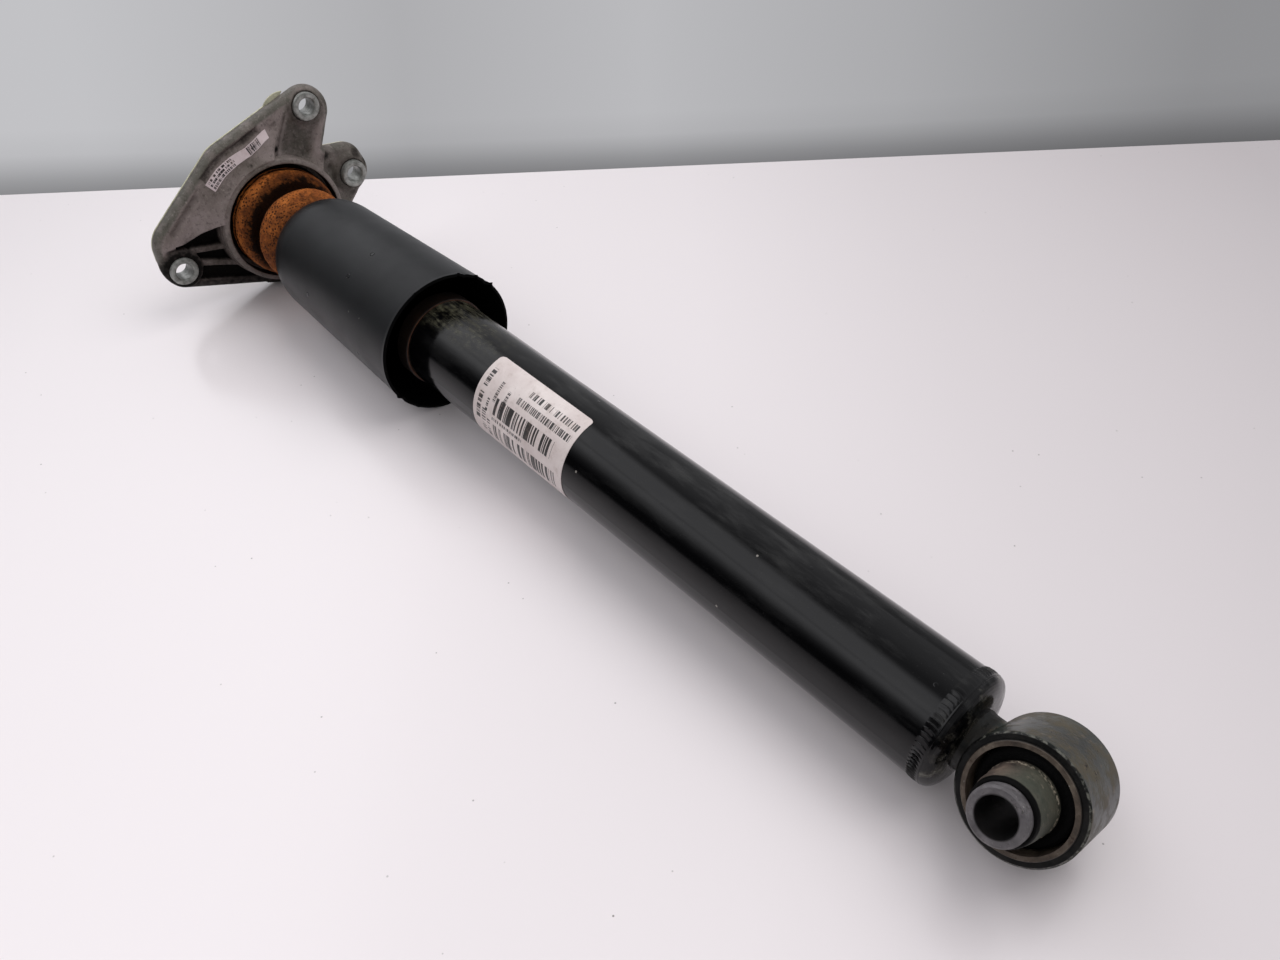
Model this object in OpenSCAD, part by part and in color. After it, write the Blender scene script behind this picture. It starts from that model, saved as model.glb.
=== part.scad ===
// Rear strut assembly: a twin-tube damper with a rubber-bushed lower eye, a bump stop and dust tube on
// its rod, and a cast top mount with three bolt sleeves. The damper is drawn fully extended.
// Frame: the origin is the centre of the lower eye's bore, +X runs along the damper to the top mount,
// and +Z is up as the strut lies on a bench.

/* [Lower eye] */
// Bore of the bush's inner sleeve, for the lower bolt
bolt_bore_d = 14.3; // [10:0.1:16]
// Outer diameter of the bush's inner sleeve
inner_sleeve_d = 20.6; // [19:0.1:24]
// Length of the bush's inner sleeve
inner_sleeve_len = 74.2; // [60:0.2:90]
// Outer diameter of the eye ring
eye_d = 46; // [45:0.5:60]
// Width of the eye ring along its bore
eye_width = 32.8; // [28:0.2:40]
// Bore of the eye ring, which holds the bush
eye_bore_d = 40.6; // [39:0.2:42]
// Wall of the bush's outer sleeve
outer_sleeve_wall = 2; // [1:0.1:2.4]
// How far the outer sleeve stands proud of the eye ring on each side
outer_sleeve_lip = 1; // [0.4:0.1:3]
// Diameter of the bush's rubber where it leaves the outer sleeve
bush_shoulder_d = 28.6; // [27:0.2:32]
// Distance from the middle of the bush to that shoulder
bush_shoulder = 16; // [13:0.5:17]
// Diameter of the rubber at its tip
bush_tip_d = 22.6; // [22:0.2:27]
// Bare length of the inner sleeve beyond the rubber
bush_bare = 4.4; // [1:0.2:6]
// Angle by which the far end of the bore leans up from the bench
bore_lift = 30; // [0:1:60]
// Diameter of the neck between eye and tube
neck_d = 25; // [20:0.5:31]
// Length of that neck
neck_len = 3; // [1:0.5:20]

/* [Damper tube] */
// Outer diameter of the tube
tube_d = 49; // [48:0.5:56]
// Wall of the tube
tube_wall = 2; // [1.6:0.1:2.6]
// Length of the tube, from the weld to the rod end
tube_len = 336.5; // [300:0.5:380]
// Depth of the domed base
base_depth = 5; // [4:0.5:12]
// Diameter of the flat at the middle of the base
base_flat_d = 26; // [22:0.5:32]
// Wall of the base
base_wall = 3; // [2:0.1:4]
// Length of the base's skirt inside the tube
base_skirt = 8; // [4:0.5:14]
// Width of the weld between base and tube
weld_w = 6; // [4:0.5:8]
// Height of the weld's crown above the tube
weld_crown = 0.35; // [0.1:0.05:1]
// Length of the tube's cap
cap_len = 10; // [7:0.5:14]
// Radial wall of the cap
cap_wall = 0.95; // [0.6:0.05:1.5]
// Thickness of the cap's end
cap_end = 2.5; // [1.5:0.1:3]
// Hole of the cap round the rod
cap_hole_d = 17; // [14:0.5:20]
// Start of the label, from the tube's weld end
label_from = 197; // [60:1:210]
// Length of the label along the tube
label_len = 71; // [40:1:75]
// Thickness of both labels
label_t = 0.2; // [0.1:0.05:0.3]
// Upper edge of the tube's label, measured from the eye's bore axis
label_top = 53; // [20:1:80]
// Lower edge of the tube's label, measured from the eye's bore axis
label_low = -75; // [-100:1:-40]

/* [Damper inside] */
// Outer diameter of the inner cylinder
cylinder_d = 35; // [33:0.5:38]
// Wall of the inner cylinder
cylinder_wall = 1.5; // [1:0.1:2]
// Height of the base valve's cage
valve_cage = 16; // [12:0.5:24]
// Diameter of the cage
valve_cage_d = 29; // [26:0.5:31]
// Thickness of the base valve's flange
valve_flange = 4; // [3:0.5:6]
// Height of the spigots that centre the inner cylinder
spigot = 4; // [3:0.5:8]
// Passages in base valve and piston
passages = 6; // [4:1:8]
// Diameter of the passages
passage_d = 3; // [2:0.1:3.5]
// Circle that the passages lie on
passage_circle_d = 22; // [20:0.5:24]
// Length of the rod guide
guide_len = 21; // [16:0.5:30]
// Wall of the guide's bush
guide_bush_wall = 1; // [0.6:0.1:1.5]
// Height of the rod seal
seal_h = 4.5; // [3:0.5:6]

/* [Rod] */
// Diameter of the piston rod
rod_d = 12.4; // [12:0.1:14]
// Thread diameter at the top of the rod
stud_d = 10; // [8:0.5:11]
// Diameter of the rod's end in the piston
tail_d = 8; // [6:0.5:9]
// Length of the rebound stop
rebound_len = 11.7; // [8:0.1:16]
// Outer diameter of the rebound stop
rebound_d = 24; // [20:0.5:28]
// Width of the retaining ring below it
retainer_w = 2.7; // [1.5:0.1:4]
// Depth of the retaining ring's groove
retainer_groove = 0.8; // [0.4:0.1:1.2]
// Outer diameter of the retaining ring
retainer_d = 18; // [16:0.5:20]
// Rod between the retaining ring and the upper valve disc
retainer_gap = 9; // [4:0.5:20]
// Length of the piston
piston_len = 18; // [14:0.5:24]
// Width of the piston's band
band_w = 9; // [6:0.5:11]
// Thickness of the piston's band
band_t = 1; // [0.6:0.1:1.5]
// Thickness of each stack of valve discs
discs_t = 1.5; // [0.5:0.1:2.5]
// Diameter of the valve discs
discs_d = 27; // [26:0.5:29]
// Width across flats of the piston nut
piston_nut_af = 13; // [12:0.5:15]
// Height of the piston nut
piston_nut_h = 8; // [5:0.5:10]

/* [Bump stop and dust tube] */
// Height of the bump stop
bump_len = 75.7; // [73:0.1:90]
// Diameter of its top
bump_top_d = 62; // [56:0.5:63]
// Diameter of its upper ring
bump_ring_d = 67.4; // [62:0.2:69]
// Diameter of the groove below the upper ring
bump_groove_d = 54; // [50:0.5:58]
// Diameter of its middle ring
bump_mid_d = 60.6; // [56:0.2:62]
// Diameter of the groove that holds the dust tube
bump_grip_d = 51; // [48:0.2:53]
// Diameter of its lower ring
bump_low_d = 56; // [53:0.5:58]
// Diameter of its nose
bump_nose_d = 40; // [34:0.5:46]
// Length of the dust tube
dust_len = 142.5; // [120:0.5:160]
// Outer diameter of the dust tube at its rim
dust_rim_d = 80.4; // [78:0.2:86]
// Outer diameter of the dust tube where its shoulder starts
dust_shoulder_d = 73; // [70:0.5:76]
// Length of the rounded shoulder
dust_shoulder = 20; // [12:0.5:26]
// Wall of the dust tube
dust_wall = 2; // [1.2:0.1:3]

/* [Top mount] */
// Distance from the lower bore to the seat of the top mount, fully extended
extended_len = 571; // [560:1:620]
// Distance of ear A's bolt from the damper's axis
ear_a_r = 71.7; // [68:0.1:76]
// Distance of ear B's bolt from the damper's axis
ear_b_r = 73.1; // [70:0.1:78]
// Distance of ear C's bolt from the damper's axis
ear_c_r = 57.7; // [56:0.1:64]
// Direction of ear A, from +Y towards +Z
ear_a_at = -9.6; // [-14:0.1:-5]
// Direction of ear B
ear_b_at = 117.4; // [114:0.1:121]
// Direction of ear C
ear_c_at = 167; // [164:0.1:171]
// Bore of the bolt sleeves
bolt_sleeve_bore_d = 10.5; // [8:0.1:12]
// Outer diameter of the bolt sleeves
bolt_sleeve_d = 17.6; // [15:0.1:18]
// Length of the bolt sleeves
bolt_sleeve_len = 12; // [11.2:0.1:14]
// Thickness of the mount at its ears, with the gasket
ear_t = 9.5; // [8:0.5:10.5]
// Thickness of the outer flange, with the gasket
flange_t = 5.5; // [4:0.5:7]
// How far the flange reaches beyond the ears
flange_out = 1.5; // [0.5:0.25:3]
// Height of the plateau's inner edge above the seat
plateau_h = 15.5; // [13:0.5:16]
// Diameter at which the plateau has sloped down to the ears
plateau_d = 116; // [104:1:118]
// Thickness of the gasket
gasket_t = 1; // [0.5:0.1:2]
// Bore of the cup round the bump stop
cup_bore_d = 75; // [74:0.2:77]
// Wall of the cup
cup_wall = 3.5; // [2:0.1:4]
// Height of the cup's lip above the seat
cup_h = 17; // [16:0.5:20]
// Height of the cup's floor above the seat
cup_floor_h = 6; // [5:0.2:6.5]
// Diameter of the mount's rubber
mount_rubber_d = 62; // [58:0.5:64]
// Diameter of the core sleeve that the rod nut clamps
core_d = 24; // [20:0.5:26]
// Length of the core from its middle to the bump plate
core_low = 7.3; // [6.5:0.1:7.8]
// Length of the core from its middle to the washer
core_high = 8.5; // [8:0.1:10]
// Diameter of the bump plate
bump_plate_d = 60; // [50:0.5:61]
// Thickness of bump plate and washer
plate_t = 2; // [1.5:0.1:2.5]
// Diameter of the washer below the rod nut
washer_d = 34; // [28:0.5:36]
// Width across flats of the rod nut
rod_nut_af = 17; // [16:0.5:19]
// Height of the rod nut
rod_nut_h = 8; // [6:0.5:9]
// Height of the mount's tower above the seat
tower_h = 13; // [12:0.2:16]
// Wall of the tower and its top
tower_wall = 3.6; // [2.5:0.1:4]
// Opening in the tower's top
tower_hole_d = 40; // [38:0.5:44]
// Height of the cover cap
cover_h = 10.5; // [10.2:0.1:16]
// Outer diameter of the cover cap
cover_d = 48; // [44:0.5:52]
// Wall of the cover cap
cover_wall = 1.5; // [1:0.1:1.6]
// Largest tilt of the mount in its rubber, each way
tilt_max = 3; // [1:0.5:3]

/* [Hidden] */

$fn = 96;
eps = 0.01;
// Gap between round pieces that are pressed together
fit_gap = 0.05;
// Radial gap of a shaft that runs in its bore
run_gap = 0.05;
// Gap between soft or loose pieces that move apart
soft_gap = 0.3;

// Stations along the damper
base_x = eye_d / 2 + neck_len;
weld_x = base_x + base_depth;
tube_x = weld_x + weld_w;
tube_end_x = tube_x + tube_len;
cap_end_x = tube_end_x + cap_end;
seal_x = tube_end_x - seal_h;
guide_x = seal_x - guide_len;
guide_spigot_x = guide_x - spigot;
rebound_x = guide_spigot_x - soft_gap - rebound_len;
retainer_x = rebound_x - soft_gap - retainer_w;
piston_top_x = retainer_x - retainer_gap - discs_t;
piston_x = piston_top_x - piston_len;
piston_nut_x = piston_x - discs_t - piston_nut_h;
valve_x = base_x + base_wall;
valve_flange_x = valve_x + valve_cage;
cylinder_x = valve_flange_x + valve_flange;
seat_x = extended_len;
core_x = seat_x - core_low;
bump_top_x = core_x - plate_t;
washer_x = seat_x + core_high;
rod_nut_x = washer_x + plate_t;
tower_x = seat_x + tower_h;
plateau_x = seat_x - plateau_h;

// Radii
tube_r = tube_d / 2;
tube_in_r = tube_r - tube_wall;
cylinder_r = cylinder_d / 2;
cylinder_in_r = cylinder_r - cylinder_wall;
rod_r = rod_d / 2;
rod_hole_r = rod_r + run_gap;
stud_r = stud_d / 2;
stud_hole_r = stud_r + fit_gap;
tail_r = tail_d / 2;
tail_hole_r = tail_r + fit_gap;
inner_sleeve_r = inner_sleeve_d / 2;
outer_sleeve_r = eye_bore_d / 2 - fit_gap;
outer_sleeve_half = eye_width / 2 + outer_sleeve_lip;
bush_r = outer_sleeve_r - outer_sleeve_wall - soft_gap;
cup_in_r = cup_bore_d / 2;
cup_out_r = cup_in_r + cup_wall;
cavity_r = mount_rubber_d / 2 + soft_gap;
tower_r = cavity_r + tower_wall;
bolt_sleeve_hole_r = bolt_sleeve_d / 2 + fit_gap;

// Chamfers and fillets
edge = 0.8;
nut_edge = 0.6;
thread_past_nut = 1.2;
tail_past_nut = 1;
curve_steps = 10;

// The bump stop's profile as [distance from its top, radius] at each crest and groove
bump_profile = [
    [0, bump_top_d / 2], [12, bump_ring_d / 2], [24, bump_groove_d / 2], [34, bump_mid_d / 2],
    [56, bump_grip_d / 2], [67, bump_low_d / 2], [bump_len, bump_nose_d / 2]
];
bump_grip_x = bump_top_x - bump_profile[4][0];
dust_lip = 1.5;
dust_end_x = bump_grip_x + dust_lip;
dust_x = dust_end_x - dust_len;
dust_hole_r = bump_grip_d / 2 + soft_gap;

// Top mount in the plane of its plate, as [y, z]
function polar(r, at) = [r * cos(at), r * sin(at)];
ear_a = polar(ear_a_r, ear_a_at);
ear_b = polar(ear_b_r, ear_b_at);
ear_c = polar(ear_c_r, ear_c_at);
ears = [ear_a, ear_b, ear_c];
// Radii of the outline's corners, and how far the corner between the ears lies from the axis
foot_r = 6;
ear_a_corner_r = 18.5;
long_edge_corner_r = 19.5;
ear_b_corner_r = 14;
notch_corner_r = 3;
notch_from_axis = 55;
ear_c_corner_r = 14;
ear_c_tip_r = 12.5;
// Wall of the hub round the cup, on the side without ears, and the ends of its flat foot
hub_wall = 3.5;
hub_r = cup_out_r + hub_wall;
foot_ends = [-18, 10];
// The mount's outline as [centre, radius] of its corners, in turn; a notch has a negative radius
corners = [
    [[foot_ends[0], foot_r - hub_r], foot_r],
    [[foot_ends[1], foot_r - hub_r], foot_r],
    [polar(ear_a_r - 8.6, ear_a_at + 1.9), ear_a_corner_r],
    [polar(ear_a_r - 9.2, ear_a_at + 10.6), ear_a_corner_r],
    [polar(cup_out_r, 59.5), long_edge_corner_r],
    [polar(ear_b_r - 3.3, ear_b_at + 2), ear_b_corner_r],
    [polar(notch_from_axis, 139.6), -notch_corner_r],
    [polar(ear_c_r - 2.4, ear_c_at - 5.3), ear_c_corner_r],
    [polar(ear_c_r - 0.6, ear_c_at), ear_c_tip_r]
];
// Pockets between ear A and the cup, and the ribs between them as [direction on the cup, on the boss]
boss_r = bolt_sleeve_d / 2 + 4.5;
pocket_from_r = cup_out_r + 0.5;
pocket_depth = 7;
pocket_wall = 4;
pocket_edge = [polar(40.5, 14.5), polar(52.5, 8.2), polar(65.5, 3.6)];
rib_half = 1.4;
ribs = [[-9.5, 139], [-30, 184]];
// Grooves on the plateau: one that follows its long edge and one along the edge beside ear A
groove_depth = 3.5;
groove_half = 1.2;
side_groove = [[49.5, 26.5], [69, 10.5]];
// The first groove and the label beside it are arcs about one centre, as [y, z]
long_edge_centre = [-16, -33];
groove_r = 94;
groove_span = [50, 80];
label_in_r = 84;
label_out_r = 91.6;
label_span = [51, 82];
// The lower trough that runs in from ear B
trough_half = 14.5;
// The gasket's tab beside ear B, as corners [centre, radius]
tab_corner_r = 14.5;
tab_root_r = 4;
tab = [[[-22, 60], tab_corner_r], [[-4, 52.5], tab_corner_r], [[0, 40], tab_root_r]];

// Direction of a vector
function heading(v) = atan2(v[1], v[0]);
// Points on an arc about c, from angle a0 to a1
function arc(c, r, a0, a1, steps = 24) =
    [for (i = [0:steps]) c + polar(r, a0 + (a1 - a0) * i / steps)];
// A smooth step between two profile points, as [radius, x]
function wave(p, q, x0, steps) =
    [for (i = [0:steps - 1])
        let (t = i / steps)
        [p[1] + (q[1] - p[1]) * (1 - cos(180 * t)) / 2, x0 - p[0] - (q[0] - p[0]) * t]];
// A quarter ellipse from [r0, x0] to [r1, x1] that starts along x and ends along r
function shoulder(r0, x0, r1, x1, steps = curve_steps) =
    [for (i = [0:steps]) let (t = 90 * i / steps) [r1 + (r0 - r1) * cos(t), x0 + (x1 - x0) * sin(t)]];
// The same from the flat to the side, for a dome
function dome(r0, x0, r1, x1, steps = curve_steps) =
    [for (i = [0:steps]) let (t = 90 * i / steps) [r0 + (r1 - r0) * sin(t), x1 + (x0 - x1) * cos(t)]];
// Angle at which the straight edge from corner a to corner b faces
function faces(a, b) = heading(b[0] - a[0]) - acos((a[1] - b[1]) / norm(b[0] - a[0]));
// Turn of a corner from one edge to the next: forwards round a bulge, backwards round a notch
function turn(from, to, r) =
    let (full = (to - from) % 360, forwards = full < 0 ? full + 360 : full)
    r > 0 ? forwards : forwards - 360;
// The outline round corners [centre, radius] whose edges are tangent to them, grown by a distance
function rounded(list, by = 0) = [
    for (i = [0:len(list) - 1])
        let (
            last = list[(i + len(list) - 1) % len(list)],
            next = list[(i + 1) % len(list)],
            from = faces(last, list[i]),
            swing = turn(from, faces(list[i], next), list[i][1]),
            steps = ceil(abs(swing) / 5)
        )
        for (k = [0:steps]) list[i][0] + polar(list[i][1] + by, from + swing * k / steps)
];
// Station of the sloping plateau's face at a radius
function plateau_face(r) =
    plateau_x + (plateau_h - ear_t) * (r - cup_out_r) / (plateau_d / 2 - cup_out_r);
// A list from its end to its start
function reversed(points) = [for (i = [len(points) - 1:-1:0]) points[i]];

// Turns a profile of [radius, x] about the damper's axis
module turned(points) {
    rotate([90, 0, 90]) rotate_extrude() polygon(points);
}

// A ring about the damper's axis between two stations
module ring(x0, x1, r_out, r_in) {
    turned([[r_in, x0], [r_out, x0], [r_out, x1], [r_in, x1]]);
}

// A solid round bar about the damper's axis
module bar(x0, x1, r) {
    translate([x0, 0, 0]) rotate([0, 90, 0]) cylinder(h = x1 - x0, r = r);
}

// A bar parallel to the damper's axis through a point [y, z]
module bar_at(p, x0, x1, r) {
    translate([0, p[0], p[1]]) bar(x0, x1, r);
}

// A flat outline in [y, z] raised along the damper's axis
module plate(x0, x1) {
    translate([x0, 0, 0]) rotate([90, 0, 90]) linear_extrude(x1 - x0) children();
}

// A hexagonal nut with a round bore and chamfered corners
module nut(x0, h, across_flats, bore_r) {
    corner_r = across_flats / sqrt(3);
    difference() {
        intersection() {
            plate(x0, x0 + h) circle(r = corner_r, $fn = 6);
            turned([
                [0, x0], [corner_r - nut_edge, x0], [corner_r, x0 + nut_edge],
                [corner_r, x0 + h - nut_edge], [corner_r - nut_edge, x0 + h], [0, x0 + h]
            ]);
        }
        bar(x0 - eps, x0 + h + eps, bore_r);
    }
}

// Holes for oil, on one circle
module passage_holes(x0, x1) {
    for (i = [0:passages - 1]) bar_at(polar(passage_circle_d / 2, 360 * i / passages), x0, x1, passage_d / 2);
}

// Turns a profile of [radius, y] about the eye's bore
module turned_on_bore(points) {
    rotate([bore_lift, 0, 0]) rotate([-90, 0, 0]) rotate_extrude() polygon(points);
}

// The mount's outline, grown by a distance on every side
module mount_outline(by) {
    polygon(rounded(corners, by));
}

module bush_inner_sleeve() {
    half = inner_sleeve_len / 2;
    r = inner_sleeve_r;
    bore = bolt_bore_d / 2;
    color([0.55, 0.54, 0.55]) turned_on_bore([
        [bore, -half], [r - edge, -half], [r, -half + edge], [r, half - edge], [r - edge, half], [bore, half]
    ]);
}

module bush_rubber() {
    bore = inner_sleeve_r + run_gap;
    tip = inner_sleeve_len / 2 - bush_bare;
    shoulder_r = bush_shoulder_d / 2;
    meets = acos(shoulder_r / bush_r);
    color([0.2, 0.18, 0.16]) turned_on_bore(concat(
        [[bore, -tip], [bush_tip_d / 2, -tip], [shoulder_r, -bush_shoulder]],
        arc([0, 0], bush_r, -meets, meets, 12),
        [[shoulder_r, bush_shoulder], [bush_tip_d / 2, tip], [bore, tip]]
    ));
}

module bush_outer_sleeve() {
    half = outer_sleeve_half;
    r = outer_sleeve_r;
    r_in = r - outer_sleeve_wall;
    color([0.42, 0.37, 0.33]) turned_on_bore([
        [r_in, -half], [r - edge / 2, -half], [r, -half + edge / 2], [r, half - edge / 2],
        [r - edge / 2, half], [r_in, half]
    ]);
}

module eye_ring() {
    half = eye_width / 2;
    r = eye_d / 2;
    flare = neck_len * 0.75;
    color([0.2, 0.22, 0.2]) difference() {
        union() {
            turned_on_bore([
                [0, -half], [r - edge, -half], [r, -half + edge], [r, half - edge], [r - edge, half], [0, half]
            ]);
            turned([
                [0, 0], [neck_d / 2, 0], [neck_d / 2, base_x - flare], [base_flat_d / 2, base_x], [0, base_x]
            ]);
        }
        turned_on_bore([
            [0, -half - 1], [eye_bore_d / 2, -half - 1], [eye_bore_d / 2, half + 1], [0, half + 1]
        ]);
    }
}

module tube_base() {
    skirt_r = tube_in_r - fit_gap;
    skirt_in_r = skirt_r - base_wall;
    skirt_x = tube_x + base_skirt;
    color([0.06, 0.06, 0.07]) turned(concat(
        [[0, base_x]],
        dome(base_flat_d / 2, base_x, tube_r, weld_x),
        [[skirt_r, weld_x], [skirt_r, skirt_x], [skirt_in_r, skirt_x]],
        reversed(dome(valve_cage_d / 2 + soft_gap, valve_x, skirt_in_r, weld_x + base_wall)),
        [[0, valve_x]]
    ));
}

module base_weld() {
    color([0.1, 0.1, 0.11]) turned(concat(
        [[tube_in_r, weld_x], [tube_r, weld_x]],
        [for (i = [1:5]) [tube_r + weld_crown * sin(30 * i), weld_x + weld_w * i / 6]],
        [[tube_r, tube_x], [tube_in_r, tube_x]]
    ));
}

module damper_tube() {
    color([0.03, 0.03, 0.035]) ring(tube_x, tube_end_x, tube_r, tube_in_r);
}

module tube_cap() {
    r_in = tube_r + fit_gap;
    r = r_in + cap_wall;
    lip_x = cap_end_x - cap_len;
    color([0.28, 0.2, 0.14]) turned([
        [r_in, lip_x], [r - edge / 4, lip_x], [r, lip_x + edge / 4],
        [r, cap_end_x - edge], [r - edge, cap_end_x],
        [cap_hole_d / 2, cap_end_x], [cap_hole_d / 2, tube_end_x], [r_in, tube_end_x]
    ]);
}

module tube_label() {
    from_x = tube_x + label_from;
    r = tube_r + fit_gap;
    span = label_top - label_low;
    color([0.86, 0.83, 0.83]) rotate([bore_lift + label_low, 0, 0]) rotate([90, 0, 90])
        rotate_extrude(angle = span) polygon([
            [r, from_x], [r + label_t, from_x],
            [r + label_t, from_x + label_len], [r, from_x + label_len]
        ]);
}

module inner_cylinder() {
    color([0.6, 0.6, 0.62]) ring(cylinder_x, guide_x, cylinder_r, cylinder_in_r);
}

module base_valve() {
    r = valve_cage_d / 2;
    spigot_r = cylinder_in_r - fit_gap;
    slot_w = passage_d * 2;
    color([0.5, 0.5, 0.5]) difference() {
        union() {
            bar(valve_x, valve_flange_x, r);
            bar(valve_flange_x, cylinder_x, cylinder_r);
            bar(cylinder_x, cylinder_x + spigot, spigot_r);
        }
        bar(valve_x - eps, valve_flange_x - base_wall, r - base_wall);
        for (at = [0:90:270]) rotate([at, 0, 0])
            translate([valve_x - eps, 0, -slot_w / 2]) cube([valve_cage / 2, r + 1, slot_w]);
        passage_holes(valve_flange_x - base_wall - eps, cylinder_x + spigot + eps);
    }
}

module base_valve_disc() {
    disc_x = cylinder_x + spigot;
    color([0.65, 0.65, 0.68]) bar(disc_x, disc_x + discs_t, discs_d / 2);
}

module rod_guide() {
    bush_r_out = rod_hole_r + guide_bush_wall + fit_gap;
    color([0.45, 0.45, 0.46]) turned([
        [bush_r_out, guide_spigot_x], [cylinder_in_r - fit_gap, guide_spigot_x],
        [cylinder_in_r - fit_gap, guide_x], [tube_in_r - fit_gap, guide_x], [tube_in_r - fit_gap, seal_x], [bush_r_out, seal_x]
    ]);
}

module guide_bush() {
    color([0.6, 0.45, 0.3]) ring(guide_spigot_x + 2, seal_x - 2, rod_hole_r + guide_bush_wall, rod_hole_r);
}

module rod_seal() {
    color([0.08, 0.08, 0.08]) ring(seal_x, tube_end_x, tube_in_r - fit_gap, rod_hole_r);
}

module rebound_stop() {
    r = rebound_d / 2;
    x1 = rebound_x + rebound_len;
    color([0.15, 0.13, 0.12]) turned([
        [rod_hole_r, rebound_x], [r - edge, rebound_x], [r, rebound_x + edge],
        [r, x1 - edge], [r - edge, x1], [rod_hole_r, x1]
    ]);
}

module retaining_ring() {
    groove_r = rod_r - retainer_groove;
    color([0.4, 0.4, 0.42]) ring(retainer_x, retainer_x + retainer_w, retainer_d / 2, groove_r + fit_gap);
}

module piston() {
    r = cylinder_in_r - 0.1;
    groove_r = cylinder_in_r - run_gap - band_t - fit_gap;
    band_x = piston_x + (piston_len - band_w) / 2;
    color([0.5, 0.5, 0.52]) difference() {
        bar(piston_x, piston_top_x, r);
        ring(band_x, band_x + band_w, r + 1, groove_r);
        bar(piston_x - eps, piston_top_x + eps, tail_hole_r);
        passage_holes(piston_x - eps, piston_top_x + eps);
    }
}

module piston_band() {
    r = cylinder_in_r - run_gap;
    band_x = piston_x + (piston_len - band_w) / 2;
    color([0.25, 0.25, 0.2]) ring(band_x + fit_gap, band_x + band_w - fit_gap, r, r - band_t);
}

module piston_discs() {
    color([0.65, 0.65, 0.68]) {
        ring(piston_x - discs_t, piston_x, discs_d / 2, tail_hole_r);
        ring(piston_top_x, piston_top_x + discs_t, discs_d / 2, tail_hole_r);
    }
}

module piston_nut() {
    color([0.5, 0.48, 0.4]) nut(piston_nut_x, piston_nut_h, piston_nut_af, tail_hole_r);
}

module piston_rod() {
    tail_x = piston_nut_x - tail_past_nut;
    shoulder_x = piston_top_x + discs_t;
    groove_r = rod_r - retainer_groove;
    stud_x = bump_top_x;
    end_x = rod_nut_x + rod_nut_h + thread_past_nut;
    color([0.75, 0.76, 0.78]) turned([
        [0, tail_x], [tail_r - edge, tail_x], [tail_r, tail_x + edge],
        [tail_r, shoulder_x], [rod_r, shoulder_x], [rod_r, retainer_x - fit_gap], [groove_r, retainer_x - fit_gap],
        [groove_r, retainer_x + retainer_w + fit_gap], [rod_r, retainer_x + retainer_w + fit_gap],
        [rod_r, stud_x], [stud_r, stud_x], [stud_r, end_x - edge], [stud_r - edge, end_x], [0, end_x]
    ]);
}

module bump_stop() {
    bore = rod_r + soft_gap;
    last = len(bump_profile) - 1;
    nose_x = bump_top_x - bump_len;
    color([0.62, 0.33, 0.13]) turned(concat(
        [[bore, bump_top_x]],
        [for (i = [0:last - 1]) each wave(bump_profile[i], bump_profile[i + 1], bump_top_x, 8)],
        [[bump_nose_d / 2, nose_x], [bore, nose_x]]
    ));
}

module dust_tube() {
    rim_r = dust_rim_d / 2;
    shoulder_r = dust_shoulder_d / 2;
    shoulder_x = dust_end_x - dust_shoulder;
    outer = shoulder(shoulder_r, shoulder_x, dust_hole_r + edge, dust_end_x);
    inner = shoulder(shoulder_r - dust_wall, shoulder_x, dust_hole_r, dust_end_x - dust_wall);
    color([0.16, 0.17, 0.19]) turned(concat(
        [[rim_r, dust_x]], outer, [[dust_hole_r, dust_end_x]], reversed(inner), [[rim_r - dust_wall, dust_x]]
    ));
}

module bump_plate() {
    color([0.4, 0.4, 0.42]) ring(bump_top_x, core_x, bump_plate_d / 2, stud_hole_r);
}

module core_sleeve() {
    color([0.5, 0.5, 0.52]) ring(core_x, washer_x, core_d / 2, stud_hole_r);
}

module core_washer() {
    color([0.5, 0.5, 0.52]) ring(washer_x, rod_nut_x, washer_d / 2, stud_hole_r);
}

module rod_nut() {
    color([0.6, 0.58, 0.45]) nut(rod_nut_x, rod_nut_h, rod_nut_af, stud_hole_r);
}

// Half the height of the mount's rubber at a radius, which leaves room to tilt
function rubber_half(r) = core_low - r * tan(tilt_max) - soft_gap;

module mount_rubber() {
    bore = core_d / 2 + soft_gap + core_low * sin(tilt_max);
    r = mount_rubber_d / 2;
    meets = asin(rubber_half(r) / r);
    color([0.08, 0.08, 0.08]) turned(concat(
        [[bore, seat_x - rubber_half(bore)]],
        [for (i = [-5:5]) [r * cos(meets * i / 5), seat_x + r * sin(meets * i / 5)]],
        [[bore, seat_x + rubber_half(bore)]]
    ));
}

module mount_housing() {
    plate_end = seat_x - gasket_t;
    ear_x = seat_x - ear_t;
    top_x = seat_x - cup_h;
    color([0.42, 0.41, 0.39]) difference() {
        union() {
            plate(seat_x - flange_t, plate_end) mount_outline(flange_out);
            plate(ear_x, plate_end) mount_outline(0);
            intersection() {
                plate(top_x, plate_end - eps) plateau_outline();
                turned([
                    [0, seat_x], [0, plateau_x], [cup_out_r, plateau_x],
                    [plateau_d, plateau_face(plateau_d)], [plateau_d, seat_x]
                ]);
            }
            bar(top_x, plate_end, cup_out_r);
            bar(plate_end - eps, tower_x, tower_r);
        }
        bar(top_x - eps, seat_x - cup_floor_h, cup_in_r);
        bar(seat_x - cup_floor_h - eps, tower_x - tower_wall, cavity_r);
        bar(tower_x - tower_wall - eps, tower_x + eps, tower_hole_d / 2);
        for (p = ears) bar_at(p, top_x, seat_x, bolt_sleeve_hole_r);
        plate(top_x - eps, ear_x + pocket_depth) pockets();
        plate(top_x - eps, ear_x + groove_depth) grooves();
    }
}

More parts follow.
